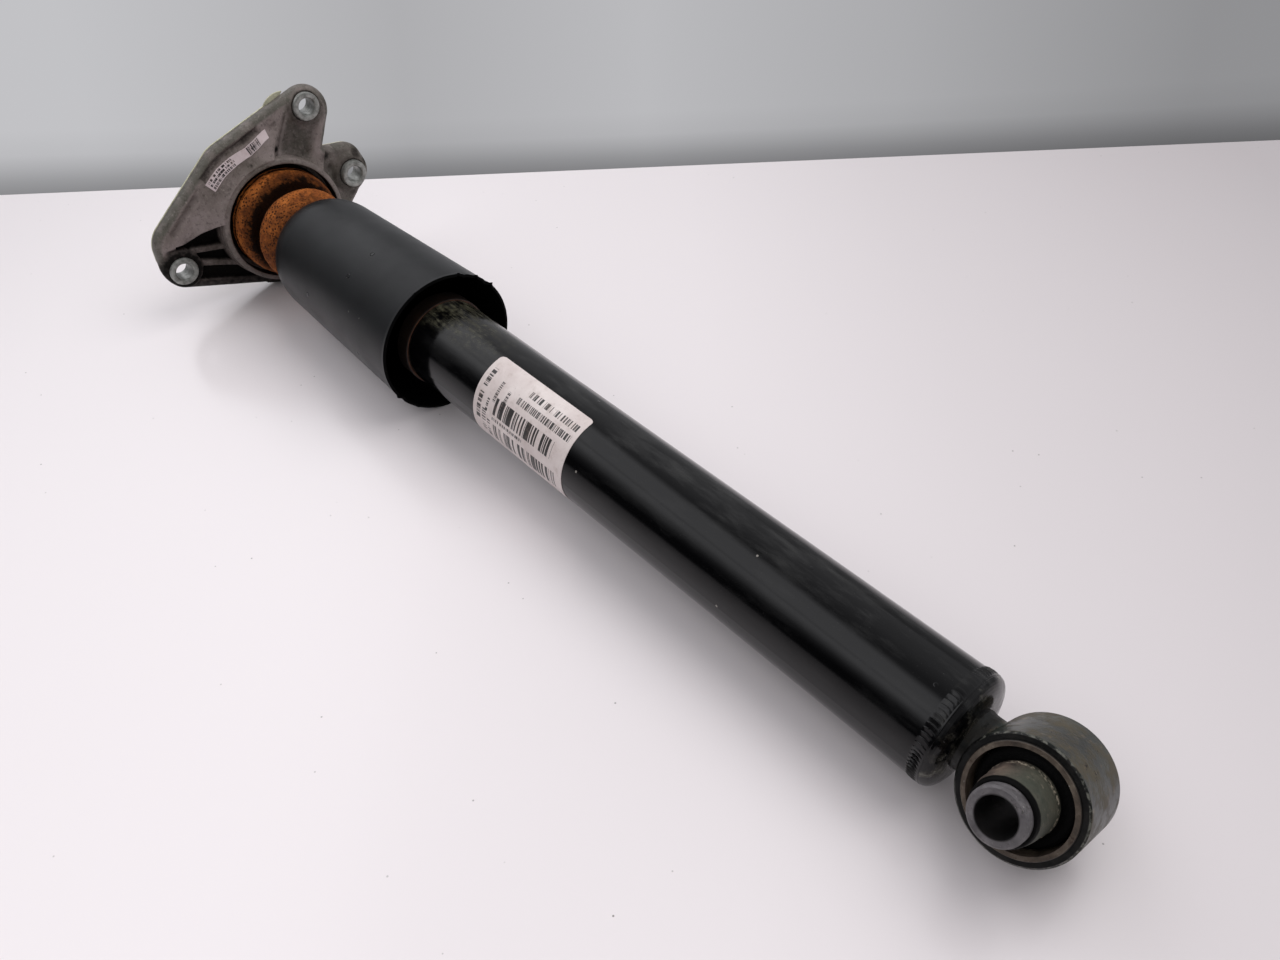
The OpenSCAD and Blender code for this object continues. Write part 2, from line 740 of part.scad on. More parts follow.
// The sloping field between the long edge, the cup, ear B's trough and ear A's pockets
module plateau_outline() {
    far = 2 * ear_b_r;
    trough_from = polar(trough_half, ear_b_at - 90);
    intersection() {
        mount_outline(0);
        polygon(concat(
            pocket_edge, [[far, pocket_edge[2][1]], trough_from + polar(far, ear_b_at), trough_from]
        ));
    }
}

module pockets() {
    intersection() {
        mount_outline(-pocket_wall);
        difference() {
            polygon(concat(
                [[0, 0]], pocket_edge, [[ear_a[0], pocket_edge[2][1]], [ear_a[0], -ear_a_r], [0, -ear_a_r]]
            ));
            circle(r = pocket_from_r);
            translate(ear_a) circle(r = boss_r);
            for (rib = ribs) polygon(rounded([
                [polar(cup_out_r, rib[0]), rib_half], [ear_a + polar(boss_r, rib[1]), rib_half]
            ]));
        }
    }
}

// A band about the centre of the long edge, between two radii
module long_edge_band(r_in, r_out, span) {
    polygon(concat(
        arc(long_edge_centre, r_out, span[0], span[1]),
        arc(long_edge_centre, r_in, span[1], span[0])
    ));
}

module grooves() {
    long_edge_band(groove_r - groove_half, groove_r + groove_half, groove_span);
    polygon(rounded([for (end = side_groove) [end, groove_half]]));
}

module mount_bolt_sleeves() {
    color([0.68, 0.69, 0.68]) for (p = ears) translate([0, p[0], p[1]])
        ring(seat_x - bolt_sleeve_len, seat_x, bolt_sleeve_d / 2, bolt_sleeve_bore_d / 2);
}

module mount_gasket() {
    color([0.5, 0.5, 0.36]) plate(seat_x - gasket_t, seat_x) difference() {
        union() {
            mount_outline(flange_out - soft_gap);
            polygon(rounded(tab));
        }
        circle(r = tower_r + soft_gap);
        for (p = ears) translate(p) circle(r = boss_r);
    }
}

module mount_cap() {
    r = cover_d / 2;
    top_x = tower_x + cover_h;
    color([0.12, 0.12, 0.12]) turned([
        [r - cover_wall, tower_x], [r, tower_x], [r, top_x - 2 * cover_wall], [r - 2 * cover_wall, top_x], [0, top_x],
        [0, top_x - cover_wall], [r - 2 * cover_wall, top_x - cover_wall], [r - cover_wall, top_x - 2 * cover_wall]
    ]);
}

module mount_label() {
    // It follows the plateau's slope and, where that has run out, the ears' level
    r0 = cup_out_r;
    r1 = plateau_d / 2;
    r2 = plateau_d;
    x0 = plateau_x - fit_gap;
    x1 = seat_x - ear_t - fit_gap;
    color([0.85, 0.82, 0.82]) intersection() {
        turned([
            [r0, x0 - label_t], [r1, x1 - label_t], [r2, x1 - label_t],
            [r2, x1], [r1, x1], [r0, x0]
        ]);
        plate(plateau_x - 1, seat_x) long_edge_band(label_in_r, label_out_r, label_span);
    }
}

bush_inner_sleeve();
bush_rubber();
bush_outer_sleeve();
eye_ring();
tube_base();
base_weld();
damper_tube();
tube_cap();
tube_label();
inner_cylinder();
base_valve();
base_valve_disc();
rod_guide();
guide_bush();
rod_seal();
rebound_stop();
retaining_ring();
piston();
piston_band();
piston_discs();
piston_nut();
piston_rod();
bump_stop();
dust_tube();
bump_plate();
core_sleeve();
core_washer();
rod_nut();
mount_rubber();
mount_housing();
mount_bolt_sleeves();
mount_gasket();
mount_cap();
mount_label();
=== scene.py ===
"""The looks of a rear strut assembly that lies on a white bench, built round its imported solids."""
import math

import bpy
import numpy as np
from mathutils import Matrix, Vector


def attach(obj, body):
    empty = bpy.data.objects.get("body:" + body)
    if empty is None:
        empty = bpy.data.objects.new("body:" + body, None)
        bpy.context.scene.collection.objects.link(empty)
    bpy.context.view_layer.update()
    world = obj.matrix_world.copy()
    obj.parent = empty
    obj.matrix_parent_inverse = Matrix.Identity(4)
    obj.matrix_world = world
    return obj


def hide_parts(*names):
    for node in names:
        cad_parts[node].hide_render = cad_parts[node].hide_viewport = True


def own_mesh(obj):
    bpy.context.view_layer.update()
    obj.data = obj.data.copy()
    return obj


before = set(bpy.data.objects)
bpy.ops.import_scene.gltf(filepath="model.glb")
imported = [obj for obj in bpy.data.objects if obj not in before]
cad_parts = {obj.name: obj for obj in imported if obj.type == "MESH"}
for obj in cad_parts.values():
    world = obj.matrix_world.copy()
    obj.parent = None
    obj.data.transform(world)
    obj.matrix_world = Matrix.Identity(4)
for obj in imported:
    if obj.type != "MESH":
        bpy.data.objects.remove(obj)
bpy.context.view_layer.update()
scene = bpy.context.scene
MM = 0.001

# ---------------------------------------------------------------- camera
camera_data = bpy.data.cameras.new("bench_camera")
camera_data.lens = 27.93
camera_data.sensor_width = 36
camera_data.clip_start = 0.01
camera = bpy.data.objects.new("bench_camera", camera_data)
scene.collection.objects.link(camera)
camera.matrix_world = Matrix((
    (-0.66619, 0.49921, -0.55406, -0.04603),
    (-0.74575, -0.45296, 0.48855, 0.22256),
    (-0.00708, 0.73865, 0.67405, 0.31212),
    (0, 0, 0, 1),
))
scene.camera = camera
scene.view_settings.view_transform = "Standard"

# ---------------------------------------------------------------- shader trees


def linear(code):
    """An sRGB hex colour as linear red, green, blue and alpha."""
    parts = [int(code[i:i + 2], 16) / 255 for i in (1, 3, 5)]
    return [p / 12.92 if p <= 0.04045 else ((p + 0.055) / 1.055) ** 2.4 for p in parts] + [1.0]


def put(tree, kind, sockets=None, stops=None, out=0, **settings):
    """Adds a node with its settings and links, and gives one of its outputs, or all where out is None.

    sockets maps an input to a value or to an output to link; stops are (place, hex or number) of a ramp.
    """
    made = tree.nodes.new("ShaderNode" + kind)
    for key, value in settings.items():
        setattr(made, key, value)
    for key, value in (sockets or {}).items():
        if isinstance(value, bpy.types.NodeSocket):
            tree.links.new(value, made.inputs[key])
        else:
            made.inputs[key].default_value = value
    if stops:
        marks = made.color_ramp.elements
        while len(marks) < len(stops):
            marks.new(0.5)
        for mark, (place, tone) in zip(marks, stops):
            mark.position = place
            mark.color = linear(tone) if isinstance(tone, str) else (tone, tone, tone, 1)
    return made.outputs if out is None else made.outputs[out]


def start(name, roughness, metallic=0.0):
    """A new material: itself, its tree, its shader's inputs and the place of a point in metres."""
    material = bpy.data.materials.new(name)
    material.use_nodes = True
    tree = material.node_tree
    shader = tree.nodes["Principled BSDF"].inputs
    shader["Roughness"].default_value = roughness
    shader["Metallic"].default_value = metallic
    return material, tree, shader, put(tree, "TexCoord", out="Object")


def patches(tree, place, size_mm, low, high, detail=4.0, roughness=0.55):
    """Cloudy patches of a size in mm: 0 where their noise lies at low and 1 at high."""
    cloud = put(tree, "TexNoise", {
        "Vector": place, "Scale": 1 / (size_mm * MM), "Detail": detail, "Roughness": roughness,
    })
    return put(tree, "MapRange", {"Value": cloud, "From Min": low, "From Max": high})


def tones(tree, place, size_mm, *stops, detail=5.0, roughness=0.6):
    """A colour that wanders through stops with cloudy patches of a size in mm."""
    cloud = put(tree, "TexNoise", {
        "Vector": place, "Scale": 1 / (size_mm * MM), "Detail": detail, "Roughness": roughness,
    })
    return put(tree, "ValToRGB", {0: cloud}, stops=stops)


def spots(tree, place, pitch_mm, radius):
    """Round spots at random points with a pitch in mm; radius is their share of the pitch, 1 inside."""
    far = put(tree, "TexVoronoi", {"Vector": place, "Scale": 1 / (pitch_mm * MM)}, out="Distance")
    return put(tree, "MapRange", {"Value": far, "From Min": radius, "From Max": radius * 0.7})


def all_of(tree, mask, *others):
    """One mask that is set where all the given masks are."""
    for other in others:
        mask = put(tree, "Math", {0: mask, 1: other}, operation="MULTIPLY")
    return mask


def over(tree, colour, mask, share, top):
    """A hex colour or another colour output, laid over a colour through a share of a mask."""
    amount = put(tree, "Math", {0: mask, 1: share}, operation="MULTIPLY", use_clamp=True)
    top = linear(top) if isinstance(top, str) else top
    return put(tree, "Mix", {"Factor": amount, "A": colour, "B": top}, data_type="RGBA", out="Result")


def total(tree, base, *parts):
    """A number plus outputs, each times its share."""
    for output, share in parts:
        base = put(tree, "Math", {0: output, 1: share, 2: base}, operation="MULTIPLY_ADD")
    return base


def relief(tree, shader, depth_mm, *parts):
    """Surface relief from outputs, each with its share of the depth in mm."""
    height = total(tree, 0.0, *parts)
    bump = put(tree, "Bump", {"Height": height, "Distance": depth_mm * MM})
    tree.links.new(bump, shader["Normal"])


def rise(tree, value, low, high, axis=None):
    """0 where a value, or a point's place along an axis, is low, 1 where it is high, and a straight rise between."""
    if axis is not None:
        value = put(tree, "VectorMath", {0: value, 1: axis}, operation="DOT_PRODUCT", out="Value")
    span = high - low
    return put(tree, "Math", {0: value, 1: 1 / span, 2: -low / span}, operation="MULTIPLY_ADD", use_clamp=True)


def off_axis(tree, place, axis):
    """A point's distance in metres from an axis through the origin."""
    sideways = put(tree, "VectorMath", {0: place, 1: axis}, operation="CROSS_PRODUCT")
    return put(tree, "VectorMath", {0: sideways}, operation="LENGTH", out="Value")


# ---------------------------------------------------------------- room
# The bench falls away a little towards the mount, because the mount is lower than the eye
BENCH_Z = -0.0283
BENCH_SLOPE = -0.0312
# Two points of the bench's far edge, and the way along it
EDGE_LEFT, EDGE_RIGHT = Vector((0.858, 0.112, 0)), Vector((0.195, -0.692, 0))
EDGE_WAY = (EDGE_RIGHT - EDGE_LEFT).normalized()


def on_bench(point):
    """The point of the bench's top above or below a point of the floor plane."""
    return Vector((point.x, point.y, BENCH_Z + BENCH_SLOPE * point.x))


def lacquered_bench():
    """White lacquer, sprayed and polished: glossy, with painted shade that greys it towards one end, and a few crumbs
    of dust.
    """
    material, tree, shader, place = start("lacquered_bench", 0.2)
    # Painted shade: the white is greyed along this way, standing in for light that falls off towards that end
    end = rise(tree, place, -0.25, 0.35, (-0.666, -0.746, 0))
    shaded_white = put(tree, "ValToRGB", {0: end}, stops=[
        (0.0, "#eee8ea"), (0.25, "#e5dfe1"), (0.5, "#d4ced0"), (0.8, "#c3bdbf"), (1.0, "#b9b3b5"),
    ])
    crumbs = all_of(tree, spots(tree, place, 14.0, 0.035), patches(tree, place, 60, 0.45, 0.6))
    tree.links.new(over(tree, shaded_white, crumbs, 0.8, "#6d6864"), shader["Base Color"])
    return material


def bench():
    """The flat top of the bench, from its far edge to 4 m in front of it."""
    toward = Vector((EDGE_WAY.y, -EDGE_WAY.x, 0)) * 4
    far_a, far_b = EDGE_LEFT - EDGE_WAY * 0.5, EDGE_RIGHT + EDGE_WAY * 1.5
    mesh = bpy.data.meshes.new("bench")
    mesh.from_pydata([on_bench(p) for p in (far_a, far_b, far_b + toward, far_a + toward)], [], [(0, 1, 2, 3)])
    mesh.materials.append(lacquered_bench())
    sheet = bpy.data.objects.new("bench", mesh)
    scene.collection.objects.link(sheet)


def workshop():
    """The room's light by its direction: a dim ceiling with one long window, a grey wall beyond the bench, a floor."""
    world = bpy.data.worlds.new("workshop")
    scene.world = world
    world.use_nodes = True
    tree = world.node_tree
    way = put(tree, "TexCoord", out="Generated")
    x, y, z = put(tree, "SeparateXYZ", {0: way}, out=None)
    # The window has straight edges on a flat ceiling, one crisp and one soft, with a bar near the first
    up = put(tree, "Math", {0: z, 1: 0.03}, operation="MAXIMUM")
    across = put(tree, "Math", {0: total(tree, 0.0, (y, 1.0), (x, 0.8)), 1: up}, operation="DIVIDE")
    pane = put(tree, "ValToRGB", {0: rise(tree, across, 0.0, 4.0)}, stops=[
        (0.09, 0.0), (0.14, 0.92), (0.30, 1.0), (0.32, 0.72), (0.335, 0.72), (0.35, 1.0), (0.42, 0.9), (0.52, 0.45),
        (0.72, 0.12), (0.95, 0.0),
    ])
    # It doesn't reach behind the strut's lower eye
    pane = all_of(tree, pane, rise(tree, x, -0.05, 0.25))
    above = rise(tree, z, 0.20, 0.50)
    far_side = rise(tree, y, 0.0, -0.45)
    below = rise(tree, z, 0.0, -0.06)
    grey = total(tree, 0.03, (above, 0.28), (far_side, 0.34), (below, 0.16))
    light = total(tree, grey, (all_of(tree, pane, above), 1.3))
    # The wall is dim at its foot along the bench's edge, and less lit towards the lower eye's end
    rays = [on_bench(point) - camera.location for point in (EDGE_LEFT, EDGE_RIGHT)]
    upright = rays[1].cross(rays[0]).normalized()
    foot = put(tree, "ValToRGB", {0: rise(tree, way, 0.0, 0.05, upright)}, stops=[
        (0.0, 0.47), (0.2, 0.60), (0.4, 0.77), (0.6, 0.92), (1.0, 1.0),
    ])
    lit = put(tree, "ValToRGB", {0: rise(tree, way, -0.5, 0.6, EDGE_WAY)}, stops=[
        (0.06, 0.56), (0.29, 0.44), (0.49, 0.51), (0.70, 0.42), (0.90, 0.29),
    ])
    facing = all_of(tree, rise(tree, way, 0.15, 0.35, (0.707, -0.707, 0)), rise(tree, z, 0.38, 0.33))
    wall = all_of(tree, foot, lit)
    light = put(tree, "Mix", {"Factor": facing, "A": light, "B": wall}, data_type="FLOAT", out="Result")
    background = tree.nodes["Background"].inputs
    tree.links.new(light, background["Strength"])
    background["Color"].default_value = linear("#fbfbff")


def lamps():
    """Two soft lamps, seen neither themselves nor in the gloss: name, power in W, width, place and aim in metres."""
    for name, power, size, spot, aim in (
        ("ceiling_lamp", 14.0, 1.4, (0.05, -0.60, 1.50), (0.30, 0.05, 0)),
        ("side_lamp", 4.0, 1.2, (-0.3, 0.9, 1.1), (0.45, 0, 0)),
    ):
        lamp = bpy.data.lights.new(name, "AREA")
        lamp.energy = power
        lamp.size = size
        lamp.color = (1.0, 0.985, 0.975)
        holder = bpy.data.objects.new(name, lamp)
        holder.location = spot
        holder.rotation_euler = (Vector(aim) - Vector(spot)).to_track_quat("-Z", "Y").to_euler()
        holder.visible_glossy = False
        holder.visible_camera = False
        scene.collection.objects.link(holder)


bench()
workshop()
lamps()

# ---------------------------------------------------------------- materials
# The ways along the damper's axis and along the lower eye's bore
X_WAY = (1, 0, 0)
BORE_LIFT = math.radians(30)
BORE_WAY = (0.0, math.cos(BORE_LIFT), math.sin(BORE_LIFT))


def gloss_enamel(name, end_dirt=0.0, base_dirt=0.0):
    """Dip-painted black enamel: deep black with a clear gloss, faint streaks of dust and a few dried drops."""
    material, tree, shader, place = start(name, 0.13)
    shader["Specular IOR Level"].default_value = 0.3
    stretched = put(tree, "VectorMath", {0: place, 1: (0.22, 1, 1)}, operation="MULTIPLY")
    streak = patches(tree, stretched, 7.0, 0.50, 0.74, 5.0, 0.65)
    dust = patches(tree, place, 0.9, 0.70, 0.80, 2.0)
    top = rise(tree, place, 0.010, 0.024, (0, -0.5, 0.87))
    streak = all_of(tree, streak, total(tree, 0.3, (top, 0.7)))
    colour = over(tree, linear("#040405"), streak, 0.17, "#6a6a69")
    colour = over(tree, colour, dust, 0.10, "#8a8783")
    shine = total(tree, 0.11, (streak, 0.16), (dust, 0.1))
    drops = spots(tree, place, 17.0, 0.055)
    bits = spots(tree, place, 23.0, 0.03)
    colour = over(tree, colour, bits, 0.75, "#9a958e")
    if end_dirt:
        # Dried mud splashed on the upper side next to the dust tube
        mud = all_of(
            tree, rise(tree, place, 0.300, 0.362, X_WAY), rise(tree, place, 0.012, 0.0215, (0, 0, 1)),
            rise(tree, place, 0.016, 0.004, (0, 1, 0)), patches(tree, stretched, 2.6, 0.42, 0.60, 6.0, 0.72),
        )
        tan = tones(tree, place, 3.0, (0.35, "#1f1e17"), (0.5, "#3f3d30"), (0.68, "#6d6b58"))
        colour = over(tree, colour, mud, end_dirt, tan)
        shine = total(tree, shine, (mud, 0.45))
    if base_dirt:
        # Brown road dirt in soft patches on the dome, which ends at the weld
        mud = all_of(
            tree, patches(tree, place, 12.0, 0.46, 0.62, 6.0, 0.6), rise(tree, place, 0.0375, 0.033, X_WAY),
        )
        tan = tones(tree, place, 4.0, (0.35, "#12100d"), (0.50, "#45423a"), (0.66, "#86847a"))
        colour = over(tree, colour, mud, base_dirt, tan)
        shine = total(tree, shine, (mud, 0.2))
    tree.links.new(colour, shader["Base Color"])
    tree.links.new(shine, shader["Roughness"])
    waves = patches(tree, place, 9.0, 0.0, 1.0, 1.0)
    relief(tree, shader, 0.12, (drops, 0.8), (bits, 0.5), (waves, 3.0 if base_dirt else 0.25))
    return material


def moulded_polypropylene():
    """Blow-moulded black polypropylene: satin, blue-grey in the light, finely grained, with drops and chalky bits."""
    material, tree, shader, place = start("moulded_polypropylene", 0.34)
    colour = tones(tree, place, 24, (0.3, "#0c0d0f"), (0.7, "#131517"), detail=4.0)
    drops = spots(tree, place, 26.0, 0.06)
    chalk = all_of(tree, spots(tree, place, 11.0, 0.05), patches(tree, place, 30, 0.45, 0.6))
    colour = over(tree, colour, chalk, 0.5, "#8b8780")
    # The mouth and the inside are painted near black: painted shade in the tube's hollow
    hollow_shade = put(tree, "Attribute", attribute_name="dirt_and_shade", out="Fac")
    colour = over(tree, colour, hollow_shade, 0.9, "#030303")
    tree.links.new(colour, shader["Base Color"])
    tree.links.new(total(tree, 0.22, (hollow_shade, -0.16)), shader["Specular IOR Level"])
    shine = total(tree, 0.33, (patches(tree, place, 20, 0.3, 0.7), 0.07), (drops, -0.2), (hollow_shade, 0.4))
    tree.links.new(shine, shader["Roughness"])
    relief(tree, shader, 0.3, (patches(tree, place, 0.8, 0.0, 1.0, 3.0), 0.16), (drops, 1.0), (chalk, 0.5))
    return material


def cast_aluminium():
    """Die-cast aluminium gone dull: brown-grey oxide, green-grey rims, black road dirt and painted shade in corners,
    worn edges.
    """
    material, tree, shader, place = start("weathered_die_casting", 0.5, 0.15)
    colour = tones(tree, place, 22, (0.30, "#6a615b"), (0.50, "#827773"), (0.70, "#948886"), detail=6.0)
    # The rim round the edge and the ears keeps a green-grey film
    rim = put(tree, "Attribute", attribute_name="rim", out="Fac")
    colour = over(tree, colour, all_of(tree, rim, patches(tree, place, 9, 0.25, 0.55)), 0.85, "#54534a")
    colour = over(tree, colour, patches(tree, place, 1.5, 0.56, 0.78), 0.55, "#99928c")
    colour = over(tree, colour, patches(tree, place, 1.9, 0.44, 0.24), 0.8, "#3c3530")
    colour = over(tree, colour, patches(tree, place, 6.5, 0.57, 0.70, 6.0, 0.7), 0.6, "#352e28")
    colour = over(tree, colour, patches(tree, place, 4.0, 0.60, 0.70, 6.0, 0.72), 0.5, "#a79f98")
    # Black dirt and painted shade on the floors of pockets and grooves, in the trough, round the sleeves and inside the
    # cup, brown where it thins out
    dirt_and_shade = put(tree, "Attribute", attribute_name="dirt_and_shade", out="Fac")
    ragged = total(tree, 0.0, (dirt_and_shade, 1.0), (all_of(tree, dirt_and_shade, patches(tree, place, 3.0, 0.7, 0.3)), 0.55))
    colour = over(tree, colour, rise(tree, ragged, 0.05, 0.7), 0.62, "#2a241f")
    colour = over(tree, colour, rise(tree, ragged, 0.45, 1.1), 0.95, "#070706")
    tree.links.new(colour, shader["Base Color"])
    tree.links.new(total(tree, 0.42, (patches(tree, place, 8, 0.3, 0.7), 0.2), (dirt_and_shade, 0.25)), shader["Roughness"])
    tree.links.new(total(tree, 0.5, (dirt_and_shade, -0.42)), shader["Specular IOR Level"])
    grit = patches(tree, place, 1.1, 0.0, 1.0, 4.0, 0.65)
    relief(tree, shader, 0.4, (grit, 0.7), (patches(tree, place, 6, 0.0, 1.0, 3.0), 0.8))
    return material


def cellular_polyurethane():
    """Cellular polyurethane foam: orange-brown skin, open dark pores and black dirt with painted shade in the hollows.
    """
    material, tree, shader, place = start("cellular_polyurethane", 0.75)
    colour = tones(
        tree, place, 12, (0.28, "#643219"), (0.44, "#965425"), (0.56, "#ae642c"), (0.74, "#c37a3e"),
        detail=7.0, roughness=0.68,
    )
    hollow_dirt_and_shade = put(tree, "Attribute", attribute_name="dirt_and_shade", out="Fac")
    shaded_side = put(tree, "Attribute", attribute_name="shaded_side", out="Fac")
    pores = all_of(tree, spots(tree, place, 1.7, 0.45), patches(tree, place, 6.0, 0.32, 0.50))
    fine = all_of(tree, spots(tree, place, 0.9, 0.38), patches(tree, place, 3.0, 0.45, 0.62))
    # Painted shade: the pores are darkest on the side that the ceiling lamp doesn't reach
    colour = over(tree, colour, all_of(tree, pores, shaded_side), 1.0, "#170c06")
    colour = over(tree, colour, fine, 0.6, "#2a1408")
    # Dark brown, then black, in the hollows: dirt with painted shade, a little stronger on the shaded side
    ragged = total(tree, 0.0, (hollow_dirt_and_shade, 1.0), (patches(tree, place, 4.5, 0.75, 0.25, 6.0, 0.7), 0.55), (shaded_side, 0.12))
    colour = over(tree, colour, rise(tree, ragged, 0.42, 0.75), 0.75, "#3a1d0c")
    colour = over(tree, colour, rise(tree, ragged, 0.80, 1.10), 0.96, "#060302")
    tree.links.new(colour, shader["Base Color"])
    tree.links.new(total(tree, 0.2, (hollow_dirt_and_shade, -0.18)), shader["Specular IOR Level"])
    relief(tree, shader, 0.6, (patches(tree, place, 3, 0.0, 1.0, 5.0), 0.9), (pores, -0.5), (fine, -0.25))
    return material


def dull_steel(name, codes, roughness, dirt_code, dirt_share, patch_mm=7.0, metallic=0.7):
    """Machined or drawn steel with a dull skin: three tones of metal, and patches of dirt or rust."""
    material, tree, shader, place = start(name, roughness, metallic)
    colour = tones(tree, place, patch_mm, *zip((0.3, 0.5, 0.7), codes))
    dirt_and_shade = patches(tree, place, patch_mm * 1.7, 0.50, 0.68, 6.0, 0.7)
    colour = over(tree, colour, dirt_and_shade, dirt_share, dirt_code)
    tree.links.new(colour, shader["Base Color"])
    tree.links.new(total(tree, roughness, (dirt_and_shade, 0.25)), shader["Roughness"])
    relief(tree, shader, 0.1, (patches(tree, place, 0.8, 0.0, 1.0, 3.0), 0.4))
    return material


def eye_steel():
    """Cut tube with a worn black-grey finish: a grey-green sheen with tan stains and dark blots, a black face with
    painted glints at its edge, and a neck in painted shade.
    """
    material, tree, shader, place = start("worn_phosphated_steel", 0.3, 0.1)
    colour = tones(tree, place, 16, (0.30, "#1a1e1b"), (0.52, "#2a2f2a"), (0.72, "#3a3e36"))
    shader["Specular IOR Level"].default_value = 0.35
    stain_and_shade = patches(tree, place, 13, 0.45, 0.58, 6.0, 0.7)
    colour = over(tree, colour, stain_and_shade, 0.75, "#554d3e")
    colour = over(tree, colour, patches(tree, place, 4.5, 0.58, 0.68, 6.0, 0.72), 0.5, "#77674f")
    blot = patches(tree, place, 7.0, 0.635, 0.66, 5.0, 0.75)
    colour = over(tree, colour, blot, 0.95, "#17100b")
    # The two cut faces are black, with worn specks and painted glints along the faces' edges; the neck is painted near
    # black as shade between the ring and the dome
    along = put(tree, "VectorMath", {0: place, 1: BORE_WAY}, operation="DOT_PRODUCT", out="Value")
    along = put(tree, "Math", {0: along}, operation="ABSOLUTE")
    face = rise(tree, along, 0.01545, 0.01595)
    shaded_neck = rise(tree, place, 0.0195, 0.0215, X_WAY)
    worn_edge_and_glint = all_of(
        tree, face, rise(tree, along, 0.01639, 0.01625), patches(tree, place, 1.6, 0.46, 0.58),
    )
    colour = over(tree, colour, face, 0.95, "#0a0a0a")
    colour = over(tree, colour, worn_edge_and_glint, 0.6, "#77776f")
    colour = over(tree, colour, shaded_neck, 0.9, "#080808")
    tree.links.new(colour, shader["Base Color"])
    tree.links.new(total(tree, 0.33, (stain_and_shade, 0.25)), shader["Roughness"])
    relief(tree, shader, 0.2, (blot, -0.5), (patches(tree, place, 1.4, 0.0, 1.0, 3.0), 0.35), (stain_and_shade, 0.3))
    return material


def sleeve_steel(name, codes, shade_from, shade_to, dirt_code):
    """A bush's sleeve: dull steel with specks on its end face, and painted shade in near black that sets in between two
    distances from the bore's axis.
    """
    material, tree, shader, place = start(name, 0.5, 0.2)
    colour = tones(tree, place, 5.0, *zip((0.3, 0.5, 0.7), codes))
    colour = over(tree, colour, patches(tree, place, 2.6, 0.56, 0.66, 6.0, 0.7), 0.75, dirt_code)
    colour = over(tree, colour, patches(tree, place, 1.2, 0.68, 0.74, 3.0), 0.6, "#aaa6a2")
    # Painted shade: near black down the inner sleeve's bore and in the gap beyond the outer sleeve's lip
    shaded_band = rise(tree, off_axis(tree, place, BORE_WAY), shade_from, shade_to)
    colour = over(tree, colour, shaded_band, 0.93, "#080706")
    tree.links.new(colour, shader["Base Color"])
    relief(tree, shader, 0.15, (patches(tree, place, 1.0, 0.0, 1.0, 3.0), 0.4))
    return material


def dusty_rubber():
    """Moulded rubber under road dust: tan on its high side, green-grey lower down, painted shade in near black in the
    recess and at the tip.
    """
    material, tree, shader, place = start("dusty_moulded_rubber", 0.6)
    colour = tones(tree, place, 7, (0.30, "#2c2622"), (0.50, "#51463f"), (0.70, "#6f6155"))
    low = rise(tree, place, 0.002, -0.007, (1, 0, -0.35))
    colour = over(tree, colour, low, 0.75, "#3f443a")
    colour = over(tree, colour, patches(tree, place, 4.0, 0.60, 0.70, 6.0, 0.72), 0.7, "#8b7f70")
    colour = over(tree, colour, patches(tree, place, 3.0, 0.40, 0.30, 6.0, 0.7), 0.6, "#191613")
    crust = put(tree, "Attribute", attribute_name="crust", out="Fac")
    crumbs = all_of(tree, crust, patches(tree, place, 1.3, 0.47, 0.56, 3.0))
    colour = over(tree, colour, crumbs, 0.85, "#a89d8b")
    # Painted shade: near black in the recess and at the tip
    shaded_gaps = put(tree, "Attribute", attribute_name="dirt_and_shade", out="Fac")
    colour = over(tree, colour, rise(tree, shaded_gaps, 0.3, 0.8), 1.0, "#050505")
    tree.links.new(colour, shader["Base Color"])
    tree.links.new(total(tree, 0.5, (shaded_gaps, -0.4)), shader["Specular IOR Level"])
    relief(tree, shader, 0.3, (patches(tree, place, 1.4, 0.0, 1.0, 4.0), 0.8), (crumbs, 1.0))
    return material


def printed_film(name, bars, paper):
    """Polyester film, pinkish with age, with plain bars and stripes printed in near black, and grime.

    bars holds (u0, u1, v0, v1, stripes): stripes is their number per side, along u above 0 and along v below 0.
    """
    material, tree, shader, place = start(name, 0.4)
    face = put(tree, "UVMap", uv_map="film")
    u, v = put(tree, "SeparateXYZ", {0: face}, out=None)[:2]
    ink = 0.0
    # A bar's edge is soft over a small share of the film
    soft = 0.004
    for u0, u1, v0, v1, stripes in bars:
        block = all_of(
            tree, rise(tree, u, u0 - soft, u0), rise(tree, u, u1 + soft, u1),
            rise(tree, v, v0 - soft, v0), rise(tree, v, v1 + soft, v1),
        )
        if stripes:
            line = put(tree, "CombineXYZ", {0: u if stripes > 0 else v, 1: u0 + v0})
            beat = put(tree, "TexNoise", {"Vector": line, "Scale": float(abs(stripes)), "Detail": 1.0})
            block = all_of(tree, block, rise(tree, beat, 0.49, 0.50))
        ink = put(tree, "Math", {0: block, 1: ink}, operation="MAXIMUM")
    colour = tones(tree, place, 14, (0.3, paper[0]), (0.7, paper[1]), detail=4.0)
    colour = over(tree, colour, ink, 0.96, "#0c0b0c")
    colour = over(tree, colour, patches(tree, place, 5, 0.52, 0.74, 6.0, 0.7), 0.4, "#9a867a")
    colour = over(tree, colour, patches(tree, place, 1.1, 0.70, 0.74, 3.0), 0.6, "#5d524b")
    tree.links.new(colour, shader["Base Color"])
    relief(tree, shader, 0.06, (patches(tree, place, 6, 0.0, 1.0, 2.0), 0.5))
    return material


# ---------------------------------------------------------------- shapes


